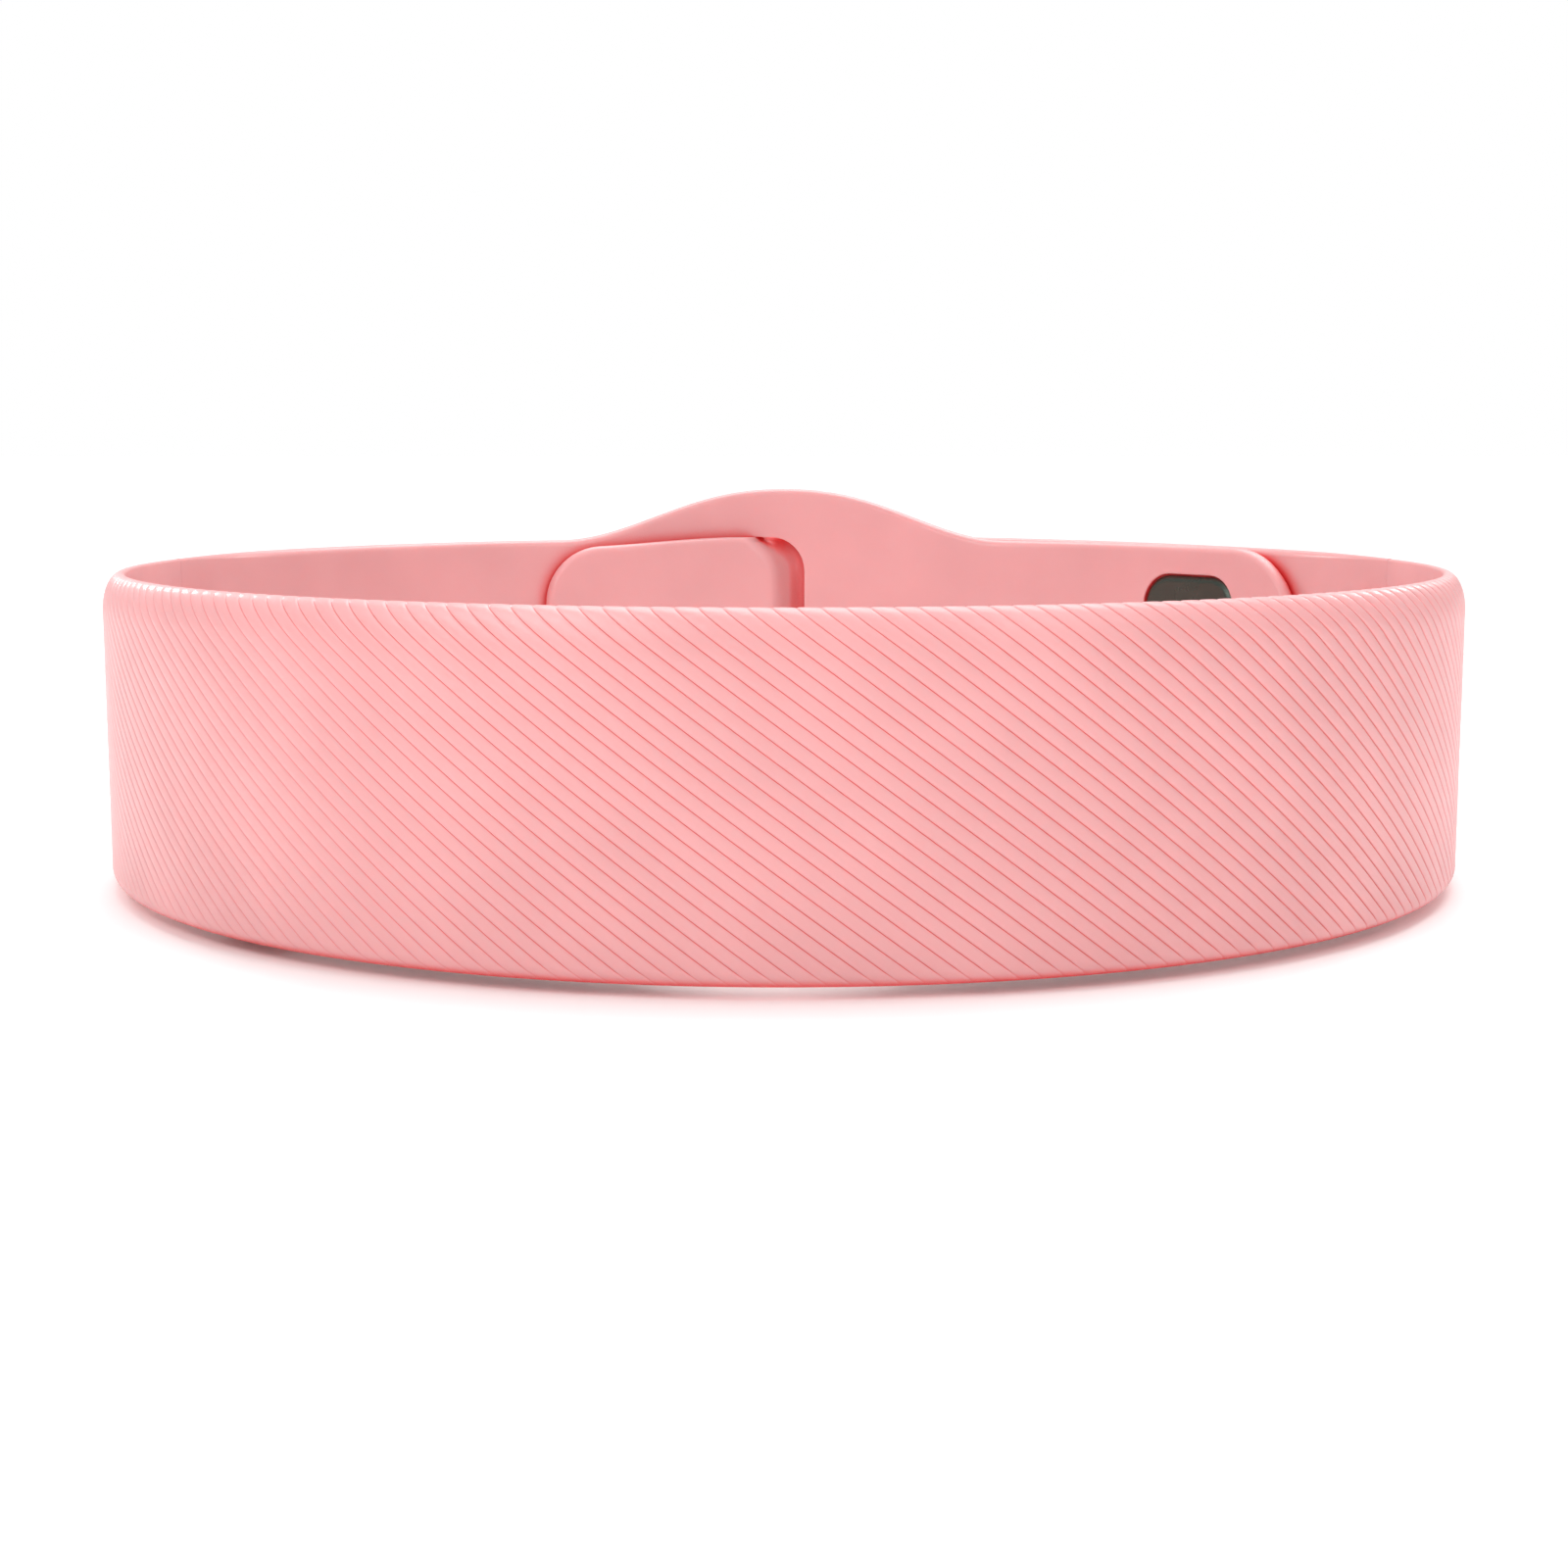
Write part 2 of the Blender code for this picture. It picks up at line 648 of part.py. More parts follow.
def clamp_holes(owner, turn):
    radius = SCREW_RADIUS + 0.2 * MM
    return [
        rod(f"{owner}_clamp_hole_{i}", radius, 10 * MM, (turn, ARM_FACE, height), sides=12)
        for i, height in enumerate(CLAMP_HEIGHTS)
    ]


def make_strap_clamps():
    """A steel bar and two screws on each side, which hold the strap's tongue to the housing's arm."""
    for side, turn in (("left", CLAMP_TURN), ("right", -CLAMP_TURN)):
        middle = (CLAMP_HEIGHTS[0] + CLAMP_HEIGHTS[1]) / 2
        size = (5.4 * MM, 0.6 * MM, 28 * MM)
        at = (turn, RIM + 0.65 * MM, middle)
        clamp = block(side + "_strap_clamp", size, at, "steel", rounding=2.0 * MM)
        cut(clamp, *clamp_holes(side + "_bar", turn))
        for place, height in zip(("lower", "upper"), CLAMP_HEIGHTS):
            screw(f"{side}_clamp_screw_{place}", turn, RIM + 2.1 * MM, height, 4.6 * MM)
        make_temple_pad(side, turn)


def make_temple_pad(side, clamp_turn):
    """A soft cap over the clamp, hollow on the side that faces it."""
    start, end = clamp_turn - 7.3, clamp_turn + 7.3

    def section(turn):
        outer = RIM + CLEARANCE
        inner = outer + 1.2 * MM + 2.3 * MM * smooth(min(turn - start, end - turn), 0, 3.5)
        return round_section(outer, inner, 5 * MM, 36.5 * MM, 1.2 * MM, steps=2)

    pad = swept(side + "_temple_pad", between(start, end, 10), section, "soft_silicone")
    hollow_at = (clamp_turn, RIM + 1.2 * MM, (CLAMP_HEIGHTS[0] + CLAMP_HEIGHTS[1]) / 2)
    cut(pad, block(side + "_pad_hollow", (6.2 * MM, 3.2 * MM, 29 * MM), hollow_at, rounding=2.0 * MM))


# ---- The eye modules ----


def pad_bar(name, side, width, height, rounding, outer, thickness, finish_name, softness=0.0):
    """A curved pad with round corners over one eye."""
    middle_turn = side * EYE_TURN
    half = degrees_along(width / 2)
    shares = (0.0, 0.03, 0.1, 0.22, 0.4, 0.65, 1.0)
    start = [middle_turn - half + degrees_along(rounding) * share for share in shares]
    end = [2 * middle_turn - turn for turn in reversed(start)]
    middle = between(start[-1], end[0], 6)[1:-1]

    def section(turn):
        from_edge = radians(half - abs(turn - middle_turn)) * RING_RADIUS
        come_in = narrowing(from_edge, rounding)
        low = EYE_HEIGHT - height / 2 + come_in
        high = EYE_HEIGHT + height / 2 - come_in
        if not softness:
            return square_section(outer, outer + thickness, low, high)
        edge = softness * (1 - min(1.0, from_edge / softness)) ** 2
        inner = outer + thickness - edge
        return (
            [(outer, low), (inner - softness, low)]
            + arc((inner - softness, low + softness), softness, 270, 360, 3)[1:]
            + arc((inner - softness, high - softness), softness, 0, 90, 3)
            + [(outer, high)]
        )

    return swept(name, start + middle + end, section, finish_name)


def make_eye_module(word, side):
    plate_depth = HOUSING_DEPTH - 2.3 * MM
    size = (OPENING_WIDTH - 2 * MM, OPENING_HEIGHT - 2 * MM, OPENING_ROUNDING - 1 * MM)
    pad_bar(word + "_massage_plate", side, *size, plate_depth, 1.2 * MM, "white_plastic")
    film = HOUSING_DEPTH - 0.8 * MM
    size = (OPENING_WIDTH - 4 * MM, OPENING_HEIGHT - 4 * MM, OPENING_ROUNDING - 2 * MM)
    pad_bar(word + "_heat_film", side, *size, film, 0.3 * MM, "copper_film")
    pad_bar(
        word + "_eye_pad", side, PAD_WIDTH, PAD_HEIGHT, PAD_ROUNDING,
        HOUSING_DEPTH + CLEARANCE, PAD_THICKNESS, "soft_silicone", softness=2.4 * MM,
    )
    make_motor(word, side * EYE_TURN)


def make_bridge_pad():
    """A soft strip over the nose notch, between the eye pads."""

    def section(turn):
        outer = HOUSING_DEPTH + CLEARANCE
        low = housing_low(turn) + 1.0 * MM
        return round_section(outer, outer + 2.4 * MM, low, low + 8 * MM, 1.0 * MM, steps=2)

    swept("bridge_pad", between(-5.2, 5.2, 6), section, "soft_silicone")


def make_motor(word, turn):
    """A small can motor behind the massage plate, with an off-centre weight on its shaft."""
    middle = MOTOR_LOW + MOTOR_LENGTH / 2
    can = rod(
        word + "_motor_can", MOTOR_RADIUS, MOTOR_LENGTH, (turn, MOTOR_DEPTH, middle),
        "steel", upright=True, sides=20,
    )
    bearing_at = (turn, MOTOR_DEPTH, MOTOR_LOW)
    bearing = rod(
        word + "_bearing_cutter", SHAFT_RADIUS + 0.08 * MM, 3 * MM, bearing_at, upright=True, sides=12
    )
    cut(can, bearing)
    shaft_length = WEIGHT_LENGTH + 2.2 * MM
    shaft_low = MOTOR_LOW + 1.2 * MM - shaft_length
    shaft_at = (turn, MOTOR_DEPTH, shaft_low + shaft_length / 2)
    rod(word + "_motor_shaft", SHAFT_RADIUS, shaft_length, shaft_at, "steel", upright=True, sides=12)
    weight_at = (turn, MOTOR_DEPTH, MOTOR_LOW - 0.6 * MM - WEIGHT_LENGTH / 2)
    weight = rod(
        word + "_motor_weight", MOTOR_RADIUS, WEIGHT_LENGTH, weight_at, "gunmetal", upright=True, sides=20
    )
    bore = rod(word + "_weight_bore", SHAFT_RADIUS + 0.05 * MM, 8 * MM, weight_at, upright=True, sides=12)
    flat_size = (8 * MM, 4 * MM, 8 * MM)
    flat_at = (turn, MOTOR_DEPTH + 2.75 * MM, weight_at[2])
    cut(weight, bore, block(word + "_weight_flat", flat_size, flat_at))


# ---- Electronics ----


def make_control_board():
    board_at = (BOARD_TURN, 5.4 * MM, EYE_HEIGHT)
    block("control_board", (20 * MM, 1.0 * MM, 22 * MM), board_at, "circuit_board", rounding=1 * MM)
    for name, side, up in (("control_chip", 7 * MM, 3.5 * MM), ("driver_chip", 4 * MM, -6.5 * MM)):
        block(name, (side, 0.9 * MM, side), (BOARD_TURN, 6.45 * MM, EYE_HEIGHT + up), "dark_plastic")


def make_battery():
    at = (-BOARD_TURN, 6.1 * MM, EYE_HEIGHT + 0.8 * MM)
    size = (19 * MM, 3.2 * MM, 21.6 * MM)
    block("battery", size, at, "battery_foil", rounding=1 * MM, round_all=True, steps=2)


def make_buttons():
    """Two keys through the cover on the wearer's left temple, with their switches, board and light."""
    board_middle = sum(BUTTON_TURNS.values()) / 2
    for name, turn in BUTTON_TURNS.items():
        size = (BUTTON_SIZE[0], 1.8 * MM, BUTTON_SIZE[1])
        at = (turn, 0.5 * MM, BUTTON_HEIGHT)
        block(name, size, at, "pink_plastic", rounding=2.35 * MM, steps=4)
        switch = name.replace("button", "switch")
        block(switch, (3 * MM, 0.5 * MM, 3 * MM), (turn, 2.15 * MM, BUTTON_HEIGHT), "dark_plastic")
    board_at = (board_middle, 3.1 * MM, BUTTON_HEIGHT - 4 * MM)
    block("button_board", (15.5 * MM, 0.5 * MM, 22 * MM), board_at, "circuit_board", rounding=1 * MM)
    light_at = (BUTTON_TURNS["power_button"], 1.2 * MM, BUTTON_HEIGHT - 10 * MM)
    rod("status_light", 1.0 * MM, 2.2 * MM, light_at, "clear_plastic")


def make_charge_port():
    """A socket that opens downwards through the housing's lower wall, with its board and its plug flap."""
    shell_low = HOUSING_LOW + 0.5 * MM
    shell_length = 7.0 * MM
    shell_at = (PORT_TURN, PORT_DEPTH, shell_low + shell_length / 2)
    socket = block("charge_socket", (8.9 * MM, 2.7 * MM, shell_length), shell_at, "steel")
    mouth_at = (PORT_TURN, PORT_DEPTH, shell_low + (shell_length - 1 * MM) / 2 - 0.5 * MM)
    cut(socket, block("socket_mouth", (8.3 * MM, 2.1 * MM, shell_length - 1 * MM), mouth_at))
    tongue_at = (PORT_TURN, PORT_DEPTH, shell_low + 3.0 * MM)
    block("socket_tongue", (6.6 * MM, 0.7 * MM, 4.4 * MM), tongue_at, "dark_plastic")
    board_at = (PORT_TURN, PORT_DEPTH - 2.15 * MM, shell_low + 3.9 * MM)
    block("port_board", (12 * MM, 0.6 * MM, 5.6 * MM), board_at, "circuit_board")
    make_port_flap()


def make_port_flap():
    """The silicone flap under the socket. Its origin is on its hinge line."""
    hinge = ring_frame(PORT_TURN, FLAP_HINGE_DEPTH, FLAP_HINGE_HEIGHT)
    bm = bmesh.new()
    bmesh.ops.create_cube(bm, size=1)
    bmesh.ops.scale(bm, vec=(12 * MM, 3.6 * MM, 1.4 * MM), verts=bm.verts)
    bmesh.ops.translate(bm, vec=(0, -1.6 * MM, 0), verts=bm.verts)
    uprights = [e for e in bm.edges if abs(e.verts[0].co.z - e.verts[1].co.z) > 1 * MM]
    bmesh.ops.bevel(
        bm, geom=uprights, offset=0.9 * MM, segments=3, profile=0.5, affect="EDGES", material=-1
    )
    flap = new_object("port_flap", bm, "soft_silicone")
    flap.matrix_world = hinge
    plug_at = (PORT_TURN, PORT_DEPTH, FLAP_HINGE_HEIGHT + 0.75 * MM)
    join(flap, block("flap_plug", (7.6 * MM, 1.5 * MM, 1.4 * MM), plug_at))


def lead(name, route, finish_name):
    """A round wire through these (turn, depth, height) places, on one smooth curve."""
    points = smooth_route(route, 3)
    curve = bpy.data.curves.new(name, "CURVE")
    curve.dimensions = "3D"
    curve.bevel_depth = LEAD_RADIUS
    curve.bevel_resolution = 2
    curve.use_fill_caps = True
    spline = curve.splines.new("POLY")
    spline.points.add(len(points) - 1)
    for point, place in zip(spline.points, points):
        point.co = (*ring_point(*place), 1)
    made = bpy.data.objects.new(name, curve)
    bpy.context.scene.collection.objects.link(made)
    curve.materials.append(finish(finish_name))
    return made


def smooth_route(route, steps):
    """Catmull-Rom points through the route."""
    places = [Vector(p) for p in route]
    padded = [2 * places[0] - places[1], *places, 2 * places[-1] - places[-2]]
    points = []
    for a, b, c, d in zip(padded, padded[1:], padded[2:], padded[3:]):
        for i in range(steps):
            t = i / steps
            points.append(
                0.5 * (2 * b + (c - a) * t + (2 * a - 5 * b + 4 * c - d) * t**2
                       + (3 * b - a - 3 * c + d) * t**3)
            )
    return [*points, places[-1]]


def make_leads():
    """Wires in the channel over the eye openings: battery to board, and each motor to the board."""
    high, low = 35.7 * MM, 34.2 * MM
    start, end = -37.2, 36.8
    lead("battery_lead_red", [(t, 5.0 * MM, high) for t in between(start, end, 9)], "red_lead")
    lead("battery_lead_black", [(t, 5.0 * MM, low) for t in between(start, end, 9)], "black_lead")
    top = MOTOR_LOW + MOTOR_LENGTH + 0.9 * MM
    rise = [(0.0, top), (0.4, top + 2.0 * MM), (2.2, low - 0.4 * MM)]
    right = [(-EYE_TURN + turn, MOTOR_DEPTH + 0.8 * MM, up) for turn, up in rise]
    right += [(t, 7.2 * MM, high) for t in between(-14.0, end, 7)]
    lead("right_motor_lead", right, "red_lead")
    left = [(EYE_TURN + turn, MOTOR_DEPTH + 0.8 * MM, up) for turn, up in rise]
    left += [(t, 7.2 * MM, low) for t in (28.0, 32.0, end)]
    lead("left_motor_lead", left, "red_lead")


def make_button_ribbon():
    """A flat ribbon from the control board to the button board, between the arm and the strap's tongue."""

    def section(turn):
        outer = ribbon_depth(turn)
        return square_section(outer, outer + RIBBON_THICKNESS, RIBBON_LOW, RIBBON_HIGH)

    swept("button_ribbon", between(52.0, 91.0, 20), section, "copper_film")


def clear_scene():
    for made in list(bpy.data.objects):
        bpy.data.objects.remove(made, do_unlink=True)


def main():
    clear_scene()
    make_front_cover()
    make_slot_strap()
    make_tail_strap()
    make_closure()
    make_housing_shell()
    make_face_plate()
    make_face_screws()
    make_strap_clamps()
    for word, side in (("left", 1), ("right", -1)):
        make_eye_module(word, side)
    make_bridge_pad()
    make_control_board()
    make_battery()
    make_buttons()
    make_charge_port()
    make_leads()
    make_button_ribbon()


main()
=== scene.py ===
# %% [markdown]
# # A wrap-around eye massager, piece by piece
#
# The whole object is a soft ring. Its front is a ribbed silicone cover that hides a massager for
# the eyes, and two silicone straps close behind the head. The engineering model is already
# loaded as a fixed frame: every solid in it has its true size and place. This lesson builds the
# finished surfaces round that frame. Nothing is fitted by eye afterwards, because each piece
# reads its size from the frame or from the same few measures that the frame was drawn with.

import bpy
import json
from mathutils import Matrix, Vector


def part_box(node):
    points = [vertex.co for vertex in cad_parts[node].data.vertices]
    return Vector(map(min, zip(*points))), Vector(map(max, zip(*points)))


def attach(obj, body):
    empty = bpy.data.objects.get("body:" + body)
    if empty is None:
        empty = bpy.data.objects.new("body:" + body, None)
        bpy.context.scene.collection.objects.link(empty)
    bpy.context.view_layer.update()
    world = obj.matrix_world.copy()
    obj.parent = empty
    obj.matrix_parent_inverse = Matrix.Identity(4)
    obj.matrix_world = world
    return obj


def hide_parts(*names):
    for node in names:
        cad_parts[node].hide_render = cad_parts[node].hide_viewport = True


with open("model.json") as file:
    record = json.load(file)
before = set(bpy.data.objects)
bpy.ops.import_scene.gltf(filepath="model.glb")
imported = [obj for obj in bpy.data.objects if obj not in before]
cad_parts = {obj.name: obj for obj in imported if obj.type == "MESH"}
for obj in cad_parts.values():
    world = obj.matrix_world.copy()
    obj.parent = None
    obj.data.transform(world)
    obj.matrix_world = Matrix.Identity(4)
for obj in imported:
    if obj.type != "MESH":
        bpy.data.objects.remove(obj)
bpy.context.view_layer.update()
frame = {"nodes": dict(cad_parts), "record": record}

# %% Tools and the frame's own facts
import json
from math import atan2, cos, degrees, pi, radians, sin, sqrt, tau

import bmesh
import bpy
from mathutils import Matrix, Vector

MM = 0.001
nodes = frame["nodes"]
record = frame["record"]
body_of = {n: body for body, members in record["behaviour"]["bodies"].items() for n in members}
cover_low, cover_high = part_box("front_cover")

# %% [markdown]
# ## Camera and studio first
#
# A camera and plain light come before any shape, so that each piece can be looked at as soon as
# it exists. The lens is a little longer than a normal one and stands low in front of the ring.
# A very soft sun over the back of the ring makes the floor white, draws the bright line along the
# upper rim and leaves the soft shadow in front. Two wide lamps at the front light the ribs. They
# stand high enough to leave the gap under the ring dark. Two small lamps reach over the front to
# the inside of the straps, and two behind the ring draw bright lines on its rim. The sky is white
# to the eye and dimmer as a light, which keeps the shadow.

# %% Camera
CAMERA_PLACE = (0.0, -0.3476, 0.060)
CAMERA_TILT = 8.2
LENS = 55.94

camera = bpy.data.objects.new("camera", bpy.data.cameras.new("camera"))
bpy.context.scene.collection.objects.link(camera)
camera.location = CAMERA_PLACE
camera.rotation_euler = (radians(90 - CAMERA_TILT), 0, 0)
camera.data.lens = LENS
camera.data.clip_start = 0.01
bpy.context.scene.camera = camera
print("camera", round(LENS), "mm lens,", round(-CAMERA_PLACE[1], 3), "m in front of the middle")

# %% Lamps, sky and floor
def softbox(name, place, aim, size, power):
    """A square area lamp that faces a point."""
    light = bpy.data.lights.new(name, "AREA")
    light.size = size
    light.energy = power
    made = bpy.data.objects.new(name, light)
    bpy.context.scene.collection.objects.link(made)
    made.location = place
    made.rotation_euler = (Vector(aim) - Vector(place)).to_track_quat("-Z", "Y").to_euler()
    return made


WIDE, SMALL, NARROW = 0.6, 0.2, 0.12
softbox("front_left_lamp", (-0.50, -0.85, 0.62), (-0.02, 0, 0.02), WIDE, power=3.1)
softbox("front_right_lamp", (0.60, -0.75, 0.52), (0.05, 0, 0.02), WIDE, power=1.5)
softbox("left_wall_lamp", (0.26, -0.24, 0.36), (-0.085, 0.03, 0.03), SMALL, power=0.28)
softbox("right_wall_lamp", (-0.26, -0.24, 0.36), (0.085, 0.03, 0.03), SMALL, power=0.50)
softbox("left_rim_lamp", (-0.40, 0.42, 0.30), (-0.09, 0, 0.04), NARROW, power=0.8)
softbox("right_rim_lamp", (0.40, 0.42, 0.30), (0.09, 0, 0.04), NARROW, power=0.5)

SUN_POWER, SUN_SPREAD, SUN_WAY = 2.6, 50, (-0.10, -0.42, -1.0)
sun = bpy.data.objects.new("soft_sun", bpy.data.lights.new("soft_sun", "SUN"))
bpy.context.scene.collection.objects.link(sun)
sun.data.energy = SUN_POWER
sun.data.angle = radians(SUN_SPREAD)
sun.rotation_euler = Vector(SUN_WAY).to_track_quat("-Z", "Y").to_euler()

SKY_LIGHT = 0.39
sky = bpy.data.worlds.new("studio")
sky.use_nodes = True
background = sky.node_tree.nodes["Background"]
seen = sky.node_tree.nodes.new("ShaderNodeLightPath")
strength = sky.node_tree.nodes.new("ShaderNodeMapRange")
strength.inputs["To Min"].default_value = SKY_LIGHT
strength.inputs["To Max"].default_value = 1.0
sky.node_tree.links.new(seen.outputs["Is Camera Ray"], strength.inputs["Value"])
sky.node_tree.links.new(strength.outputs["Result"], background.inputs["Strength"])
background.inputs["Color"].default_value = (1, 1, 1, 1)
bpy.context.scene.world = sky
bpy.context.scene.view_settings.view_transform = "Standard"

FLOOR_GAP, FLOOR_REACH = 1.3 * MM, 6.0
floor_bm = bmesh.new()
bmesh.ops.create_grid(floor_bm, x_segments=1, y_segments=1, size=FLOOR_REACH)
floor_mesh = bpy.data.meshes.new("floor")
floor_bm.to_mesh(floor_mesh)
floor_bm.free()
floor = bpy.data.objects.new("floor", floor_mesh)
bpy.context.scene.collection.objects.link(floor)
floor.location.z = -FLOOR_GAP
print("lamps:", ", ".join(lamp.name for lamp in bpy.data.lights))

# %% [markdown]
# ## Finishes
#
# Every finish is made of nodes that read the object's own coordinates, in metres, so a speck of
# grain has a true size. Moulded silicone is matt and a little translucent. Its narrow gaps carry
# painted shade: an ambient occlusion node finds the gaps and turns the base colour there to a deep
# red, which stands in for shade. A broad, weak mottling and a fine grain keep the surface from
# looking like paint.

# %% A small language for node materials
def material(name, base, rough, metallic=0.0, **more):
    """A Principled material with plain values, and its node tree."""
    made = bpy.data.materials.new(name)
    made.use_nodes = True
    tree = made.node_tree
    shader = tree.nodes["Principled BSDF"]
    shader.inputs["Base Color"].default_value = (*base, 1)
    shader.inputs["Roughness"].default_value = rough
    shader.inputs["Metallic"].default_value = metallic
    for socket, value in more.items():
        shader.inputs[socket].default_value = value
    return made, tree, shader


def noise(tree, size, detail=3.0, stretch=(1, 1, 1)):
    """Noise whose features are about this many metres across."""
    place = tree.nodes.new("ShaderNodeTexCoord")
    mapping = tree.nodes.new("ShaderNodeMapping")
    mapping.inputs["Scale"].default_value = stretch
    texture = tree.nodes.new("ShaderNodeTexNoise")
    texture.inputs["Scale"].default_value = 1 / size
    texture.inputs["Detail"].default_value = detail
    tree.links.new(place.outputs["Object"], mapping.inputs["Vector"])
    tree.links.new(mapping.outputs["Vector"], texture.inputs["Vector"])
    return texture.outputs["Fac"]


def ramp(tree, value, stops):
    """Colours or greys at places from 0 to 1."""
    made = tree.nodes.new("ShaderNodeValToRGB")
    elements = made.color_ramp.elements
    while len(elements) < len(stops):
        elements.new(0.5)
    for element, (place, colour) in zip(elements, stops):
        element.position = place
        element.color = (*colour, 1) if len(colour) == 3 else (colour[0],) * 3 + (1,)
    tree.links.new(value, made.inputs["Fac"])
    return made.outputs["Color"]


def bump(tree, shader, height, distance, strength=1.0):
    made = tree.nodes.new("ShaderNodeBump")
    made.inputs["Distance"].default_value = distance
    made.inputs["Strength"].default_value = strength
    tree.links.new(height, made.inputs["Height"])
    tree.links.new(made.outputs["Normal"], shader.inputs["Normal"])


def shaded(colour, share):
    return tuple(min(1.0, c * share) for c in colour)


def moulded(name, colour, rough, grain=0.00025, grain_height=0.00002, mottle=0.04, **more):
    """Moulded rubber or plastic: broad mottling in its colour and gloss, and a fine grain."""
    made, tree, shader = material(name, colour, rough, **more)
    broad = noise(tree, 0.018, 2.0)
    stops = [(0.3, shaded(colour, 1 - mottle)), (0.7, shaded(colour, 1 + mottle))]
    tree.links.new(ramp(tree, broad, stops), shader.inputs["Base Color"])
    gloss = ramp(tree, noise(tree, 0.004, 3.0), [(0.3, (rough * 0.92,)), (0.7, (rough * 1.08,))])
    tree.links.new(gloss, shader.inputs["Roughness"])
    bump(tree, shader, noise(tree, grain, 4.0), grain_height)
    return made


# %% Silicone, plastics and metals
SILICONE = (0.75, 0.350, 0.353)
# The colour of the painted shade in narrow gaps, then the reach and the two ramp stops of the ambient
# occlusion mask that lays it on.
GAP_SHADE_RED, GAP_REACH = (0.78, 0.045, 0.045), 0.003
GAP_CLOSED, GAP_OPEN = 0.38, 0.86
TRANSLUCENT = {
    "Subsurface Weight": 0.35,
    "Subsurface Scale": 0.0014,
    "Subsurface Radius": (1.0, 0.30, 0.25),
    "Coat Weight": 0.30,
    "Coat Roughness": 0.22,
}


def paint_gap_shade(tree, shader):
    """Paints shade into narrow gaps: turns the base colour towards a deeper red where the surface
    looks into one.
    """
    gap_shade_mask = tree.nodes.new("ShaderNodeAmbientOcclusion")
    gap_shade_mask.inputs["Distance"].default_value = GAP_REACH
    gap_shade_mask.samples = 12
    share = ramp(tree, gap_shade_mask.outputs["AO"], [(GAP_CLOSED, (0.0,)), (GAP_OPEN, (1.0,))])
    mix = tree.nodes.new("ShaderNodeMix")
    mix.data_type = "RGBA"
    mix.inputs["A"].default_value = (*GAP_SHADE_RED, 1)
    base = shader.inputs["Base Color"]
    tree.links.new(base.links[0].from_socket, mix.inputs["B"])
    tree.links.new(share, mix.inputs["Factor"])
    tree.links.new(mix.outputs["Result"], base)


def silicone(name, colour, rough=0.55, **more):
    made = moulded(name, colour, rough, **more)
    shader = made.node_tree.nodes["Principled BSDF"]
    # Every silicone gets painted shade, a deep red, in its narrow gaps.
    paint_gap_shade(made.node_tree, shader)
    for socket, value in TRANSLUCENT.items():
        shader.inputs[socket].default_value = value
    return made


finish = {
    "ribbed": silicone("ribbed_silicone", SILICONE),
    "strap": silicone("strap_silicone", SILICONE, rough=0.50),
    "pad": silicone("pad_silicone", (0.80, 0.44, 0.42), rough=0.6, mottle=0.05),
    "pink": moulded("pink_plastic", (0.68, 0.32, 0.32), 0.38, grain=0.0004),
    "white": moulded("white_plastic", (0.52, 0.45, 0.44), 0.42, grain=0.0004),
    "dark": moulded("dark_plastic", (0.030, 0.030, 0.034), 0.42, grain=0.0003, mottle=0.2),
    "clear": moulded("clear_plastic", (0.90, 0.90, 0.92), 0.12, grain=0.0006, grain_height=0.000004,
                     **{"Transmission Weight": 0.75, "IOR": 1.49}),
    "gunmetal": moulded("gunmetal", (0.082, 0.104, 0.086), 0.26, metallic=0.75, mottle=0.12),
    "red_lead": moulded("red_lead", (0.55, 0.03, 0.03), 0.40, grain=0.0005, mottle=0.1),
    "black_lead": moulded("black_lead", (0.020, 0.020, 0.022), 0.42, grain=0.0005, mottle=0.2),
    "floor": moulded("floor_finish", (0.96, 0.96, 0.96), 0.80, grain=0.002, mottle=0.004,
                     **{"Specular IOR Level": 0.1}),
}
floor.data.materials.append(finish["floor"])
print(len(finish), "finishes")

# %% [markdown]
# ## Metals, film and boards
#
# The parts inside never meet the light, but each still has the finish of the real thing: fine
# brush marks on steel, copper tracks on film and ribbon, crinkled foil on the battery and a maze
# of traces under the green lacquer of a board.

# %% Brushed steel, copper tracks, foil and boards
def brushed(name, colour, rough):
    """Metal with fine marks along its height."""
    made, tree, shader = material(name, colour, rough, metallic=1.0)
    marks = noise(tree, 0.0006, 4.0, stretch=(1, 1, 0.04))
    stops = [(0.25, shaded(colour, 0.86)), (0.75, shaded(colour, 1.08))]
    tree.links.new(ramp(tree, marks, stops), shader.inputs["Base Color"])
    tree.links.new(ramp(tree, marks, [(0.2, (rough * 0.8,)), (0.8, (rough * 1.3,))]),
                   shader.inputs["Roughness"])
    bump(tree, shader, marks, 0.00001)
    return made


def tracks(name, track, ground, pitch, rough, metallic):
    """Bands of metal along a film, a pitch apart in height."""
    made, tree, shader = material(name, track, rough, metallic=metallic)
    place = tree.nodes.new("ShaderNodeTexCoord")
    wave = tree.nodes.new("ShaderNodeTexWave")
    wave.bands_direction = "Z"
    wave.inputs["Scale"].default_value = tau / 20 / pitch
    wave.inputs["Distortion"].default_value = 0.4
    tree.links.new(place.outputs["Object"], wave.inputs["Vector"])
    colour = ramp(tree, wave.outputs["Fac"], [(0.40, ground), (0.52, track)])
    tree.links.new(colour, shader.inputs["Base Color"])
    bump(tree, shader, wave.outputs["Fac"], 0.00003)
    return made


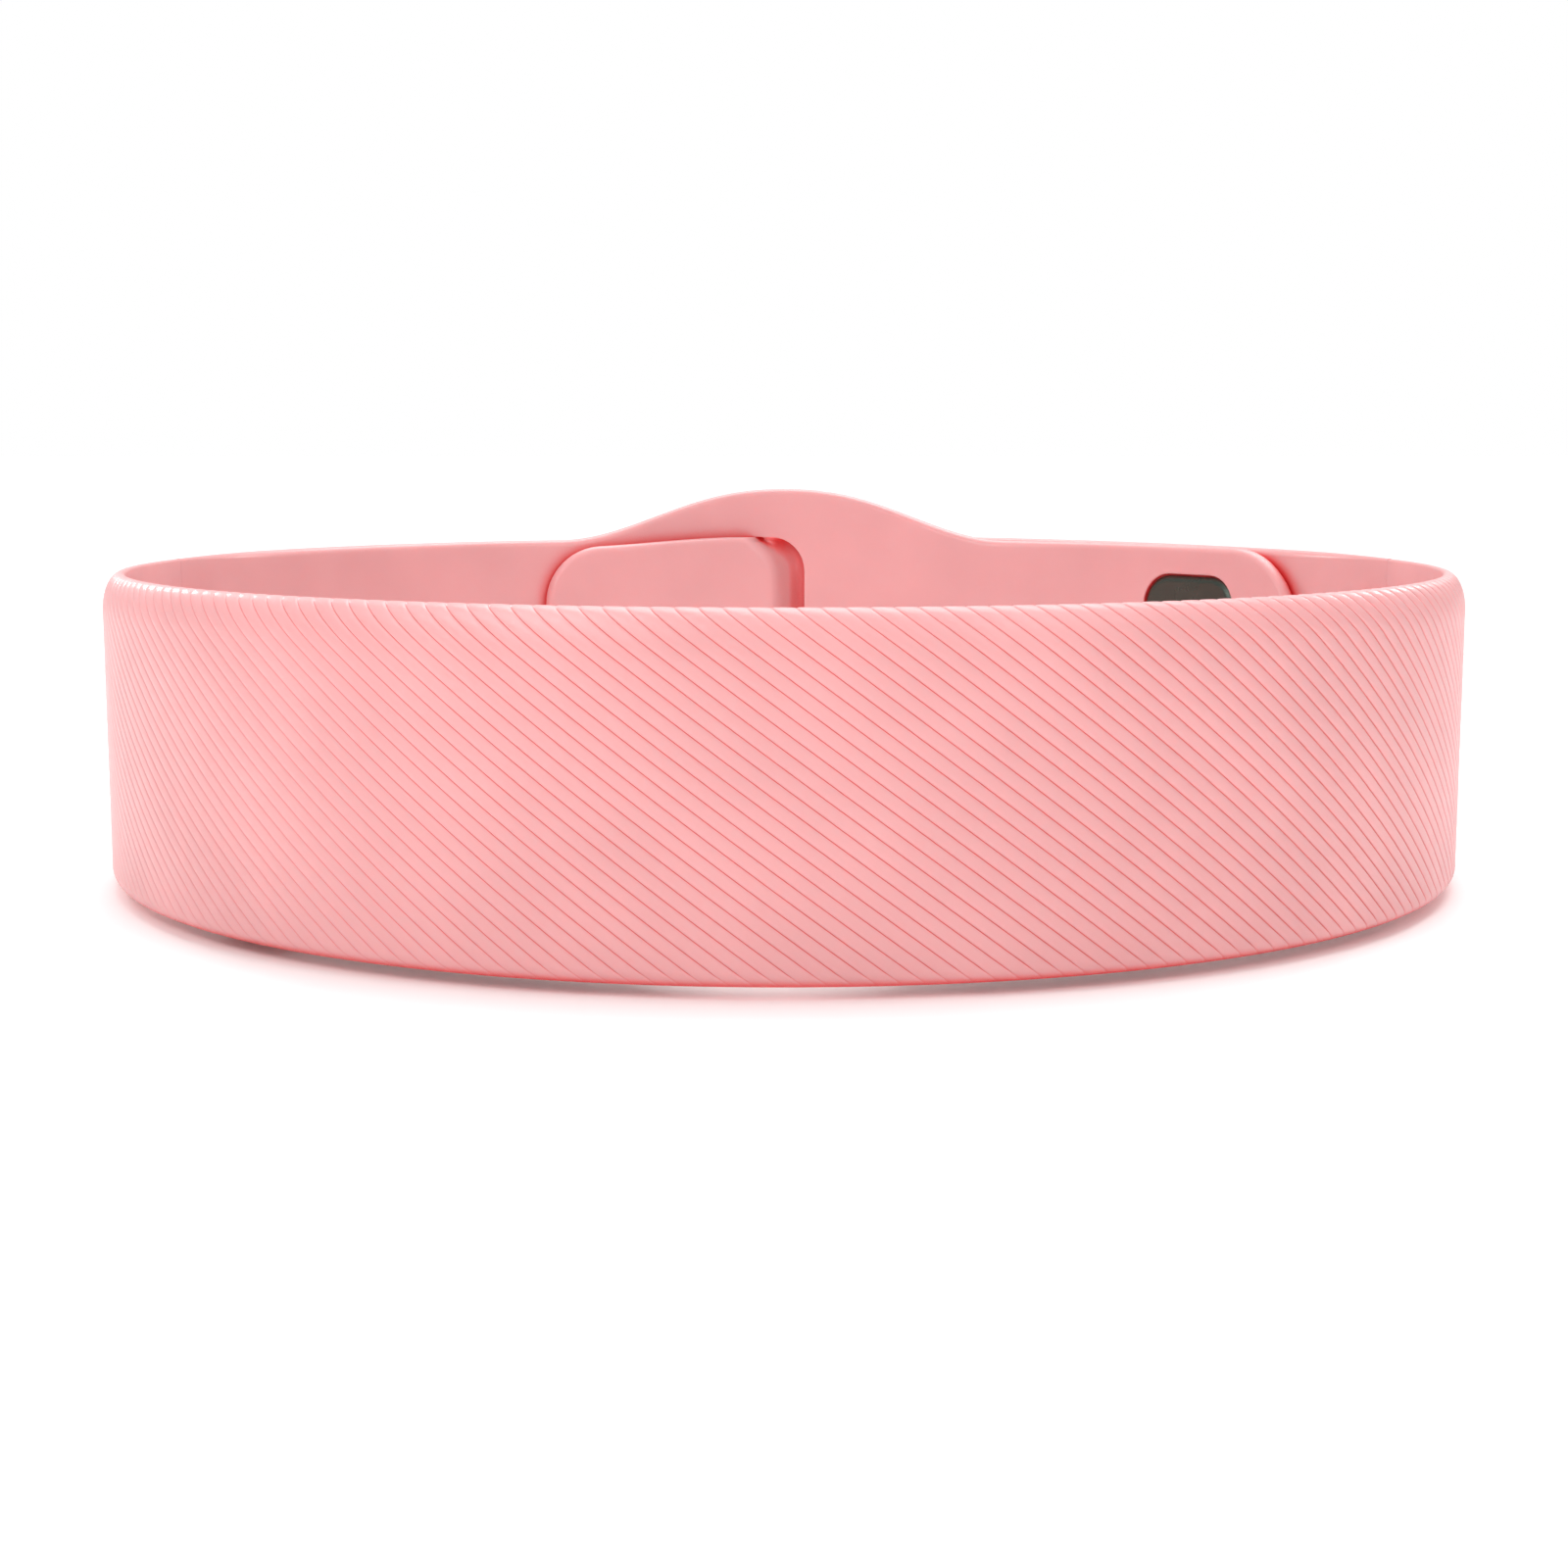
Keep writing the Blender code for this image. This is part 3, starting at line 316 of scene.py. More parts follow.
def traced_board(name, lacquer, trace):
    """A board's lacquer over a maze of straight traces."""
    made, tree, shader = material(name, lacquer, 0.35)
    place = tree.nodes.new("ShaderNodeTexCoord")
    cells = tree.nodes.new("ShaderNodeTexVoronoi")
    cells.distance = "CHEBYCHEV"
    cells.inputs["Scale"].default_value = 1 / 0.0016
    tree.links.new(place.outputs["Object"], cells.inputs["Vector"])
    stops = [(0.30, lacquer), (0.36, trace), (0.44, trace), (0.50, lacquer)]
    tree.links.new(ramp(tree, cells.outputs["Distance"], stops), shader.inputs["Base Color"])
    bump(tree, shader, cells.outputs["Distance"], 0.00002)
    return made


finish["steel"] = brushed("steel", (0.56, 0.56, 0.57), 0.28)
finish["copper_film"] = tracks("copper_film", (0.72, 0.34, 0.14), (0.40, 0.16, 0.05), 0.001, 0.35, 0.7)
finish["battery"] = moulded("battery_foil", (0.48, 0.50, 0.53), 0.30, grain=0.0012,
                            grain_height=0.00012, metallic=0.85, mottle=0.08)
finish["board"] = traced_board("circuit_board", (0.012, 0.13, 0.06), (0.05, 0.30, 0.14))
print("finishes:", ", ".join(sorted(finish)))

# %% [markdown]
# ## The ring as a drawing board
#
# The ring is an ellipse, so nothing on it is straight. It is easier to draw each piece flat, with
# x the way round, y the depth inwards and z the height, and to bend the finished drawing round
# the ring at the end. A place on the ring is its turn in degrees: 0 at the front, 90 at the
# wearer's left, 180 at the back of the head.

# %% Places on the ring
HALF_WIDTH = cover_high.x
HALF_DEPTH = -cover_low.y
HEIGHT = cover_high.z
RING_RADIUS = (HALF_WIDTH + HALF_DEPTH) / 2


def outward(turn):
    angle = radians(turn)
    return Vector((sin(angle) / HALF_WIDTH, -cos(angle) / HALF_DEPTH, 0)).normalized()


def ring_point(turn, depth, height):
    angle = radians(turn)
    surface = Vector((HALF_WIDTH * sin(angle), -HALF_DEPTH * cos(angle), height))
    return surface - outward(turn) * depth


def ring_frame(turn, depth, height):
    """Axes at a place: X the way round, Y inwards, Z up."""
    inwards = -outward(turn)
    along = inwards.cross(Vector((0, 0, 1)))
    axes = Matrix((along, inwards, (0, 0, 1))).transposed().to_4x4()
    axes.translation = ring_point(turn, depth, height)
    return axes


def way(turn):
    """The way round, in metres, at a turn."""
    return radians(turn) * RING_RADIUS


def turn_at(x):
    return degrees(x / RING_RADIUS)


def wrap(bm, face=lambda turn, height: 0.0):
    """Bends a flat drawing round the ring. face(turn, height) is the depth of its y = 0."""
    for vertex in bm.verts:
        x, y, z = vertex.co
        vertex.co = ring_point(turn_at(x), y + face(turn_at(x), z), z)
    return bm


print(f"ring {2 * HALF_WIDTH:.3f} by {2 * HALF_DEPTH:.3f} m, {HEIGHT:.4f} m high")

# %% [markdown]
# ## A loft, made from a grid
#
# Most pieces here are a closed section that travels along a path. A grid has exactly the right
# faces for that: its columns become stations on the path and its rows the points of the section.
# Its two long sides are sewn together, and what is left open at the ends is filled.

# %% Loft, shape helpers and finishing
def between(start, end, steps):
    return [start + (end - start) * i / steps for i in range(steps + 1)]


def smooth(value, start, end):
    share = min(1.0, max(0.0, (value - start) / (end - start)))
    return share * share * (3 - 2 * share)


def arc(centre, radius, start, end, steps):
    return [
        (centre[0] + radius * cos(radians(a)), centre[1] + radius * sin(radians(a)))
        for a in between(start, end, steps)
    ]


def narrowing(distance, rounding):
    """How far an edge has come in, this far from the end of a shape with round corners."""
    reach = min(max(distance, 0.0), rounding)
    return rounding - sqrt(rounding**2 - (rounding - reach) ** 2)


def loft(rings):
    """A closed skin over rings of the same number of points."""
    stations, count = len(rings) - 1, len(rings[0])
    bm = bmesh.new()
    bmesh.ops.create_grid(bm, x_segments=stations, y_segments=count, size=0.5)
    for vertex in bm.verts:
        station = round((vertex.co.x + 0.5) * stations)
        corner = round((vertex.co.y + 0.5) * count) % count
        vertex.co = rings[station][corner]
    bmesh.ops.remove_doubles(bm, verts=bm.verts, dist=1e-7)
    bmesh.ops.holes_fill(bm, edges=[e for e in bm.edges if e.is_boundary], sides=0)
    return facing_out(bm)


def outline(width, height, corner, across=1, up=1, bend=8):
    """The same number of points round any rectangle with round corners."""
    w, h = width / 2 - corner, height / 2 - corner
    turns = [(w, h, 0), (-w, h, 90), (-w, -h, 180), (w, -h, 270)]
    bends = [arc((x, z), corner, start, start + 90, bend) for x, z, start in turns]
    points = []
    for i, here in enumerate(bends):
        (x, z), (end_x, end_z) = here[-1], bends[(i + 1) % 4][0]
        steps = (across, up)[i % 2]
        points += here
        points += [
            (x + (end_x - x) * k / steps, z + (end_z - z) * k / steps) for k in range(1, steps)
        ]
    return points


def stack(width, height, corner, levels, middle=(0, 0), **points):
    """A solid through outlines of one shape. Each level is (how much it has grown, its depth)."""
    rings = []
    for grown, depth in levels:
        most = min(width, height) / 2 + grown
        ring = outline(
            width + 2 * grown, height + 2 * grown, max(min(corner + grown, most), most * 0.3), **points
        )
        rings.append([(middle[0] + x, depth, middle[1] + z) for x, z in ring])
    return loft(rings)


def facing_out(bm):
    bmesh.ops.recalc_face_normals(bm, faces=bm.faces)
    if bm.calc_volume(signed=True) < 0:
        bmesh.ops.reverse_faces(bm, faces=bm.faces)
    return bm


def object_from(bm, name, smooth_below=40):
    mesh = bpy.data.meshes.new(name)
    bm.to_mesh(mesh)
    bm.free()
    mesh.shade_smooth()
    mesh.set_sharp_from_angle(angle=radians(smooth_below))
    made = bpy.data.objects.new(name, mesh)
    bpy.context.scene.collection.objects.link(made)
    return made


def carve(bm, cutters, operation="DIFFERENCE"):
    """Cuts other closed meshes from this one and returns the result as a bmesh."""
    blank = object_from(bm, "blank")
    tools = [object_from(cutter, "tool") for cutter in cutters]
    for tool in tools:
        step = blank.modifiers.new("cut", "BOOLEAN")
        step.operation = operation
        step.object = tool
        step.solver = "EXACT"
    bpy.context.view_layer.update()
    evaluated = blank.evaluated_get(bpy.context.evaluated_depsgraph_get())
    result = bmesh.new()
    result.from_mesh(evaluated.to_mesh())
    evaluated.to_mesh_clear()
    for spent in [blank, *tools]:
        bpy.data.objects.remove(spent, do_unlink=True)
    return result


def piece(bm, name, node, look, smooth_below=40):
    """The finished object: shaded, finished, riding on its node's body and standing in for it."""
    made = object_from(bm, name, smooth_below)
    made.data.materials.append(finish[look])
    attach(made, body_of[node])
    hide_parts(node)
    print(f"{name}: {len(made.data.polygons)} faces")
    return made


# %% [markdown]
# ## The ribbed cover
#
# The cover is a channel of silicone that is open towards the head. Its outside carries about a
# hundred and forty ribs that run down to the right, each with one steep side and one soft side.
# Drawn flat, a rib is a straight slanted line, so the grid itself is slanted: a column of the grid
# runs along a rib, and the section's depth says whether that column is a groove or a crest. The
# slant follows height alone, so the ribs turn straight inwards where the upper edge rounds over,
# and the grooves go in square to the surface there, up to the rim, which they leave scalloped.

# %% Rib and section measures
LIP_DEPTH = 3.1 * MM
CROWN = (2.55 * MM, 5.1 * MM)
COVER_END = 100.06
COVER_WALL = 2.0 * MM
COVER_LIP = 2.2 * MM
COVER_TOP, COVER_END_TOP = 3.1 * MM, 6.0 * MM
LIP_THICKENS = (89.9, 94.9)
CROWN_STEPS, CROWN_SHARE, RIM_SHARE = 10, 0.75, 0.6
BOTTOM_ROUNDING = 2.0 * MM
RIM_EDGE = 0.45 * MM
RIB_PITCH = 2.64 * MM
RIB_SLANT = 37.5
RIB_PROFILE = [(0.0, 0.19), (0.05, 0.05), (0.12, 0.01), (0.45, 0.0), (0.78, 0.03), (0.93, 0.08)]


def oval_corner(deep, tall, steps):
    """(depth, height below the top) of a corner that is deeper or taller than it is round."""
    return [(deep * (1 - x), -tall * (1 - z)) for x, z in arc((0, 0), 1, 0, 90, steps)]


def cover_section():
    """(depth, height, inwards) for each point round the channel.

    The last is the way the grooves go in, with the share of their depth as its length."""
    low, edge, still = BOTTOM_ROUNDING, RIM_EDGE, (0.0, 0.0)
    outer = [(0.0, z, (1.0, 0.0)) for z in between(low, HEIGHT - CROWN[1], 12)][1:-1]
    crown = []
    for (depth, z), turn in zip(oval_corner(*CROWN, CROWN_STEPS), between(0, 90, CROWN_STEPS)):
        angle = radians(turn)
        inwards = Vector((cos(angle) / CROWN[0], -sin(angle) / CROWN[1])).normalized()
        crown.append((depth, HEIGHT + z, inwards * (1 - (1 - CROWN_SHARE) * turn / 90)))
    rim = arc((LIP_DEPTH - edge, HEIGHT - edge), edge, 80, 0, 4)
    rim = [(d, z, (0.0, down)) for (d, z), down in zip(rim, between(-RIM_SHARE, 0, 4))]
    under = [(LIP_DEPTH, HEIGHT - COVER_TOP, still), (COVER_WALL, HEIGHT - COVER_TOP, still)]
    inner = [(COVER_WALL, z, still) for z in between(HEIGHT - COVER_TOP, COVER_LIP, 10)][1:]
    lip = [(LIP_DEPTH, COVER_LIP, still)]
    lip += [(d, z, still) for d, z in arc((LIP_DEPTH - edge, edge), edge, 0, -90, 3)]
    foot = [(d, z, (smooth(z, 0.0, low), 0.0)) for d, z in arc((low, low), low, 270, 180, 5)]
    return lip + foot + outer + crown + rim + under + inner


def rib_ring(phase, section):
    """One slanted column of the cover: the section at this phase of the ribs, counted in pitches."""
    share = phase % 1.0
    groove = next(depth for at, depth in reversed(RIB_PROFILE) if share >= at - 1e-6) * MM
    slant = 1 / sin(radians(RIB_SLANT)) * cos(radians(RIB_SLANT))
    return [
        (phase * RIB_PITCH - height * slant, depth + groove * inwards[0], height + groove * inwards[1])
        for depth, height, inwards in section
    ]


section = cover_section()
reach = way(COVER_END)
first = int(-reach / RIB_PITCH) - 2
last = int((reach + HEIGHT / sin(radians(RIB_SLANT)) * cos(radians(RIB_SLANT))) / RIB_PITCH) + 2
phases = [rib + at for rib in range(first, last) for at, _ in RIB_PROFILE]
cover = loft([rib_ring(phase, section) for phase in phases])
print("ribs:", last - first, "each", len(RIB_PROFILE), "columns wide")

# %% [markdown]
# ## Ends and openings of the cover
#
# The cover meets the straps with a thicker upper lip, so the lip's underside is lowered towards
# both ends. The ends are cut square while the drawing is still flat. Two keyholes and a small
# window for the light are cut after the bend, because their cutters are plain upright shapes.

# %% Trim the ends, bend it and open it for the buttons
def trim(bm, x, keep_below):
    """Cuts a flat drawing square at x and closes the cut."""
    bmesh.ops.bisect_plane(
        bm, geom=bm.verts[:] + bm.edges[:] + bm.faces[:], dist=1e-7, plane_co=(x, 0, 0),
        plane_no=(1, 0, 0), clear_outer=keep_below, clear_inner=not keep_below,
    )
    bmesh.ops.holes_fill(bm, edges=[e for e in bm.edges if e.is_boundary], sides=0)


SLACK = 0.01 * MM
for vertex in cover.verts:
    x, y, z = vertex.co
    is_underside = HEIGHT - COVER_TOP - SLACK < z < HEIGHT - RIM_EDGE * 1.5
    if y > COVER_WALL - SLACK and is_underside:
        thicker = smooth(abs(turn_at(x)), *LIP_THICKENS)
        vertex.co.z -= (COVER_END_TOP - COVER_TOP) * thicker
trim(cover, reach, True)
trim(cover, -reach, False)
facing_out(cover)
wrap(cover)


def slab(size, rounding, at, steps=6):
    """A flat bar whose corners are round as seen from outside the ring, at a place on it."""
    bm = bmesh.new()
    bmesh.ops.create_cube(bm, size=1)
    bmesh.ops.scale(bm, vec=size, verts=bm.verts)
    edges = [e for e in bm.edges if abs(e.verts[0].co.y - e.verts[1].co.y) > size[1] / 2]
    bmesh.ops.bevel(
        bm, geom=edges, offset=rounding, segments=steps, profile=0.5, affect="EDGES", material=-1
    )
    bmesh.ops.transform(bm, matrix=ring_frame(*at), verts=bm.verts)
    return facing_out(bm)


def turned(profile, at, steps=40):
    """A shape turned about the axis that points inwards. The profile is (radius, depth) points."""
    bm = bmesh.new()
    points = [bm.verts.new((radius, depth, 0)) for radius, depth in profile]
    edges = [bm.edges.new(pair) for pair in zip(points, points[1:])]
    bmesh.ops.spin(
        bm, geom=points + edges, cent=(0, 0, 0), axis=(0, 1, 0), angle=tau, steps=steps,
        use_merge=True, use_duplicate=False,
    )
    bmesh.ops.remove_doubles(bm, verts=bm.verts, dist=1e-7)
    bmesh.ops.transform(bm, matrix=ring_frame(*at), verts=bm.verts)
    return facing_out(bm)


BUTTON_TURNS = {"power_button": 89.6, "mode_button": 96.2}
BUTTON_HEIGHT = 24.0 * MM
BUTTON_SIZE = (5.0 * MM, 11.0 * MM)
LIGHT_HEIGHT = 14.0 * MM
CLEARANCE = 0.3 * MM
LENS_RADIUS = 1.0 * MM
CUTTER_REACH = 4 * MM
opening = (BUTTON_SIZE[0] + 2 * CLEARANCE, 9 * MM, BUTTON_SIZE[1] + 2 * CLEARANCE)
cutters = [slab(opening, 2.75 * MM, (t, 0, BUTTON_HEIGHT)) for t in BUTTON_TURNS.values()]
window = LENS_RADIUS + 0.25 * MM
light_profile = [(0, -CUTTER_REACH), (window, -CUTTER_REACH), (window, CUTTER_REACH)]
light_profile += [(0, CUTTER_REACH)]
cutters.append(turned(light_profile, (BUTTON_TURNS["power_button"], 0, LIGHT_HEIGHT), 24))
cover = carve(cover, cutters)
piece(cover, "ribbed_cover", "front_cover", "ribbed", 60)

# %% [markdown]
# ## The straps
#
# Both straps are flat bands that end in a round tip. The one from the wearer's right carries a
# slot and rises in a hump over it, so that enough silicone is left above the slot. The one from
# the wearer's left lies over it, is held by two pins, and dives through the slot to the inside.
# Each is drawn flat at its own thickness, its holes are cut while it is still flat, with cutters
# that flare at both faces so that every hole has a soft edge, and only then is it bent.

# %% Strap measures
STRAP = 2.6 * MM
LAYER = 2.9 * MM
SOFT_EDGE = 1.15 * MM
ROOT_EDGE, TONGUE_EDGE = 0.5 * MM, 0.4 * MM
RIM = 5.6 * MM
TONGUE = 1.5 * MM
RIM_FADES = 118
LAYER_STARTS = 180 - 42
TONGUE_START, TONGUE_END = 70.3, 101.2
STRAP_START, ROOT_START, ROOT_END = 100.08, 100.4, 112.0
HOUSING_LOW, HOUSING_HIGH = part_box("housing_shell")[0].z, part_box("housing_shell")[1].z
TONGUE_HIGH = 35.1 * MM
HUMP_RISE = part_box("slot_strap")[1].z - HEIGHT
HUMP_REACH = 25.0
SLOT_START, SLOT_END = 177.7, 185.2
SLOT_LOW, SLOT_HIGH = 4.5 * MM, 41.8 * MM
SLOT_ROUNDING = 7.8 * MM
TUCK_START, TUCK_LENGTH = 178.4, 3.2
TAIL_LOW, TAIL_HIGH = 5.2 * MM, 41.9 * MM
TAIL_NARROWS, TAIL_TAPERS = (116, 172), (185, 204)
TAIL_TAPER = 1.5 * MM
TIPS = {"slot_strap": (244.2, 15 * MM), "tail_strap": (207.4, 10 * MM)}


def slot_strap_face(turn, height):
    """Depth of the slot strap's outer face. Its turns are counted the other way round."""
    return LAYER * smooth(-turn, LAYER_STARTS, 180)


def tail_strap_face(turn, height):
    """Depth of the tail's outer face. It turns in at one distance from the slot's round edge."""
    to_end = max(2 * CLEARANCE, min(height - SLOT_LOW, SLOT_HIGH - height))
    start = TUCK_START + turn_at(narrowing(to_end, SLOT_ROUNDING))
    inside = LAYER * smooth(360 - turn, LAYER_STARTS, 180) + LAYER
    return inside * smooth(turn, start, start + TUCK_LENGTH)


def hump(turn):
    share = min(1.0, abs(turn - 180) / HUMP_REACH)
    return HUMP_RISE * (1 + cos(pi * share**1.15)) / 2


def tail_low(turn):
    return TAIL_LOW * smooth(turn, *TAIL_NARROWS) + TAIL_TAPER * smooth(turn, *TAIL_TAPERS)


def tail_high(turn):
    full = HEIGHT + (TAIL_HIGH - HEIGHT) * smooth(turn, *TAIL_NARROWS)
    return full - TAIL_TAPER * smooth(turn, *TAIL_TAPERS)


def soft_section(outer, inner, low, high, edge, crown=(0, 0), rows=8, inner_top=None):
    """A tall rectangle of (depth, height) with soft edges and an oval corner at its outer top."""
    edge = min(edge, (inner - outer) / 2 * 0.97)
    top = min(edge, inner_top or edge)
    crown = (max(edge, min(crown[0], inner - outer - top)), max(edge, crown[1]))
    inner_side = [(inner, z) for z in between(low + edge, high - top, rows)[1:-1]]
    outer_side = [(outer, z) for z in between(high - crown[1], low + edge, rows)[1:-1]]
    return (
        arc((outer + edge, low + edge), edge, 180, 270, 5)
        + arc((inner - edge, low + edge), edge, 270, 360, 5)
        + inner_side
        + arc((inner - top, high - top), top, 0, 90, 5)
        + [(outer + depth, high + z) for depth, z in reversed(oval_corner(*crown, 8))]
        + outer_side
    )


def strap_ring(turn, tip, tip_rounding, low, high, sign):
    """One station of a flat strap. Its top has the cover's oval corner where the two meet."""
    at_rim = 1 - smooth(turn, STRAP_START, ROOT_END)
    at_cover = 1 - smooth(turn, STRAP_START, RIM_FADES)
    crown = [SOFT_EDGE + (size - SOFT_EDGE) * at_cover for size in CROWN]
    from_tip = way(tip - turn)
    come_in = narrowing(from_tip, tip_rounding)
    thin = narrowing(from_tip, SOFT_EDGE) * 0.96
    inner_top = RIM_EDGE + (SOFT_EDGE - RIM_EDGE) * (1 - at_cover)
    points = soft_section(
        thin, STRAP + (LIP_DEPTH - STRAP) * at_rim - thin, low(turn) + come_in,
        high(turn) - come_in, SOFT_EDGE, crown, rows=22, inner_top=inner_top,
    )
    return [(sign * way(turn), depth, height) for depth, height in points]


def strap_stations(tip, tip_rounding, pitch):
    start = tip - turn_at(tip_rounding)
    shares = [1 - (1 - i / 14) ** 2 for i in range(1, 15)]
    return (
        between(STRAP_START, start, round((start - STRAP_START) / pitch))
        + [start + (tip - start) * share for share in shares]
    )


def bar(turns, section_at, sign):
    """A flat bar whose section changes along it."""
    return loft([[(sign * way(t), d, z) for d, z in section_at(t)] for t in turns])


def root_section(turn):
    sink = smooth(turn, ROOT_START, ROOT_END)
    inner = RIM + CLEARANCE + (STRAP - RIM - 2 * CLEARANCE) * sink
    return soft_section(STRAP / 2, inner, HOUSING_LOW, TONGUE_HIGH, ROOT_EDGE)


def tongue_section(turn):
    low, high = HOUSING_LOW + 0.2 * MM, TONGUE_HIGH - 0.2 * MM
    return soft_section(RIM - TONGUE, RIM, low, high, TONGUE_EDGE)


def flat_strap(name, low, high, sign, pitch):
    """A strap with its thick root and the tongue that the clamp holds, joined in one."""
    tip, rounding = TIPS[name]
    turns = strap_stations(tip, rounding, pitch)
    strap = loft([strap_ring(turn, tip, rounding, low, high, sign) for turn in turns])
    root = bar(between(ROOT_START, ROOT_END, 16), root_section, sign)
    tongue = bar(between(TONGUE_START, TONGUE_END, 30), tongue_section, sign)
    joined = carve(strap, [root, tongue], "UNION")
    screw_holes = [round_hole(sign * way(CLAMP_TURN), z, CLAMP_HOLE, RIM - TONGUE, RIM)
                   for z in CLAMP_HEIGHTS]
    return carve(joined, screw_holes)


# %% Cutters that leave soft edges
CLAMP_TURN = 78.0
CLAMP_HEIGHTS, CLAMP_HOLE = (10.0 * MM, 31.5 * MM), 1.1 * MM
HOLE_FLARE, SLOT_FLARE, BED_FLARE, FACE_FLARE = 0.28 * MM, 0.20 * MM, 0.40 * MM, 0.45 * MM


def flared(top, bottom, flare):
    """Levels of a cutter through a sheet: grown at both faces, so that the hole's edges are soft."""
    bends = between(0, 90, 4)
    upper = [(flare * (1 - sin(radians(a))), top + flare * (1 - cos(radians(a)))) for a in bends]
    lower = [(grown, bottom - (depth - top)) for grown, depth in reversed(upper)]
    return [(flare, top - 1 * MM)] + upper + lower + [(flare, bottom + 1 * MM)]


def round_hole(x, z, radius, top=0.0, bottom=STRAP):
    levels = flared(top, bottom, HOLE_FLARE)
    return stack(2 * radius, 2 * radius, radius, levels, (x, z), bend=6)


# %% The slot strap
PIN_TURN = 131.1
PIN_HEIGHTS = (HEIGHT / 2 - 9.0 * MM, HEIGHT / 2 + 9.0 * MM)
PLATE = (19.0 * MM, 31.6 * MM, 5.0 * MM)
PLATE_RECESS = 1.1 * MM
SQUARE_CORNER = 2.0 * MM
PIN_HOLE = 1.75 * MM


def from_left(turn):
    """The flat place on the slot strap of a turn counted from the wearer's left."""
    return way(turn - 360)


slot_at = (from_left((SLOT_START + SLOT_END) / 2), (SLOT_LOW + SLOT_HIGH) / 2)
slot_size = (way(SLOT_END - SLOT_START), SLOT_HIGH - SLOT_LOW)
slot_levels = flared(0.0, STRAP, SLOT_FLARE)
slot = stack(*slot_size, SLOT_ROUNDING, slot_levels, slot_at, across=4, up=16)
square_at = (slot_at[0] + slot_size[0] / 4, slot_at[1])
square_size = (slot_size[0] / 2, slot_size[1])
square_end = stack(*square_size, SQUARE_CORNER, slot_levels, square_at, across=6, up=20)
bed_size = (PLATE[0] + 2 * CLEARANCE, PLATE[1] + 2 * CLEARANCE, PLATE[2] + CLEARANCE)
bed_levels = [(0, STRAP - PLATE_RECESS)] + flared(0.0, STRAP, BED_FLARE)[6:]
bed = stack(*bed_size, bed_levels, (from_left(PIN_TURN), HEIGHT / 2), across=12, up=16)
strap = flat_strap("slot_strap", lambda turn: 0.0, lambda turn: HEIGHT + hump(turn), -1, 0.7)
pin_holes = [round_hole(from_left(PIN_TURN), z, PIN_HOLE) for z in PIN_HEIGHTS]
strap = carve(strap, [slot, square_end, bed, *pin_holes])
wrap(strap, slot_strap_face)
piece(strap, "slot_strap_band", "slot_strap", "strap", 50)

# %% The tail strap
HOLE_PITCH, HOLE_COUNT, HOLE_RADIUS = 5.5, 8, 1.9 * MM
strap = flat_strap("tail_strap", tail_low, tail_high, 1, 0.5)
hole_turns = [PIN_TURN - HOLE_PITCH + i * HOLE_PITCH for i in range(HOLE_COUNT)]
holes = [round_hole(way(turn), z, HOLE_RADIUS) for turn in hole_turns for z in PIN_HEIGHTS]
strap = carve(strap, holes)
wrap(strap, tail_strap_face)
piece(strap, "tail_strap_band", "tail_strap", "strap", 50)

# %% [markdown]
# ## Plate and pins
#
# A dark metal plate lies in a shallow bed in the slot strap. Its edge is bevelled, so it catches
# the light as a thin line. Two turned pins are riveted in it. They stand through both straps and
# end outside in low domes that the other strap's holes are buttoned over.

# %% The pin plate and its pins
PLATE_FACE = LAYER + STRAP - PLATE_RECESS + 0.2 * MM
PLATE_THICKNESS, PLATE_BEVEL, BURR = 0.8 * MM, 0.5 * MM, 0.1 * MM
PIN_RADIUS, PIN_HEAD_RADIUS, PIN_HEAD, PIN_EDGE = 1.6 * MM, 2.7 * MM, 1.5 * MM, 0.15 * MM
plate_levels = [(-BURR, 0.0), (0.0, BURR), (0.0, PLATE_THICKNESS - PLATE_BEVEL)]
plate_levels += [(-0.52 * MM, PLATE_THICKNESS - 0.03 * MM), (-0.62 * MM, PLATE_THICKNESS)]
plate_levels += [(-inset, PLATE_THICKNESS) for inset in between(1.2 * MM, PLATE[0] / 2 * 0.99, 8)]
plate = stack(*PLATE, plate_levels, (way(PIN_TURN), HEIGHT / 2), across=12, up=20)
wrap(plate, lambda turn, height: PLATE_FACE)
piece(plate, "bevelled_pin_plate", "pin_plate", "gunmetal", 22)

head = [(PIN_HEAD_RADIUS * cos(radians(a)), -CLEARANCE - PIN_HEAD * sin(radians(a)))
        for a in between(0, 88, 10)]
shank = [(0, PLATE_FACE - PIN_EDGE), (PIN_RADIUS - PIN_EDGE, PLATE_FACE - PIN_EDGE),
         (PIN_RADIUS, PLATE_FACE - 2 * PIN_EDGE), (PIN_RADIUS, -CLEARANCE),
         (PIN_HEAD_RADIUS - PIN_EDGE, -CLEARANCE)]
for node, height in zip(("lower_pin", "upper_pin"), PIN_HEIGHTS):
    pin = turned(shank + head + [(0, -CLEARANCE - PIN_HEAD)], (PIN_TURN, 0, height))
    piece(pin, node + "_turned", node, "gunmetal", 30)

# %% [markdown]
# ## Face plate
#
# Behind the cover a thin moulded plate closes the housing towards the face. It has an opening for
# each eye pad, a deep notch for the nose and counterbores for its screws. Its edges are rounded,
# as a moulding's are, and it is drawn flat, cut and bent like the straps.

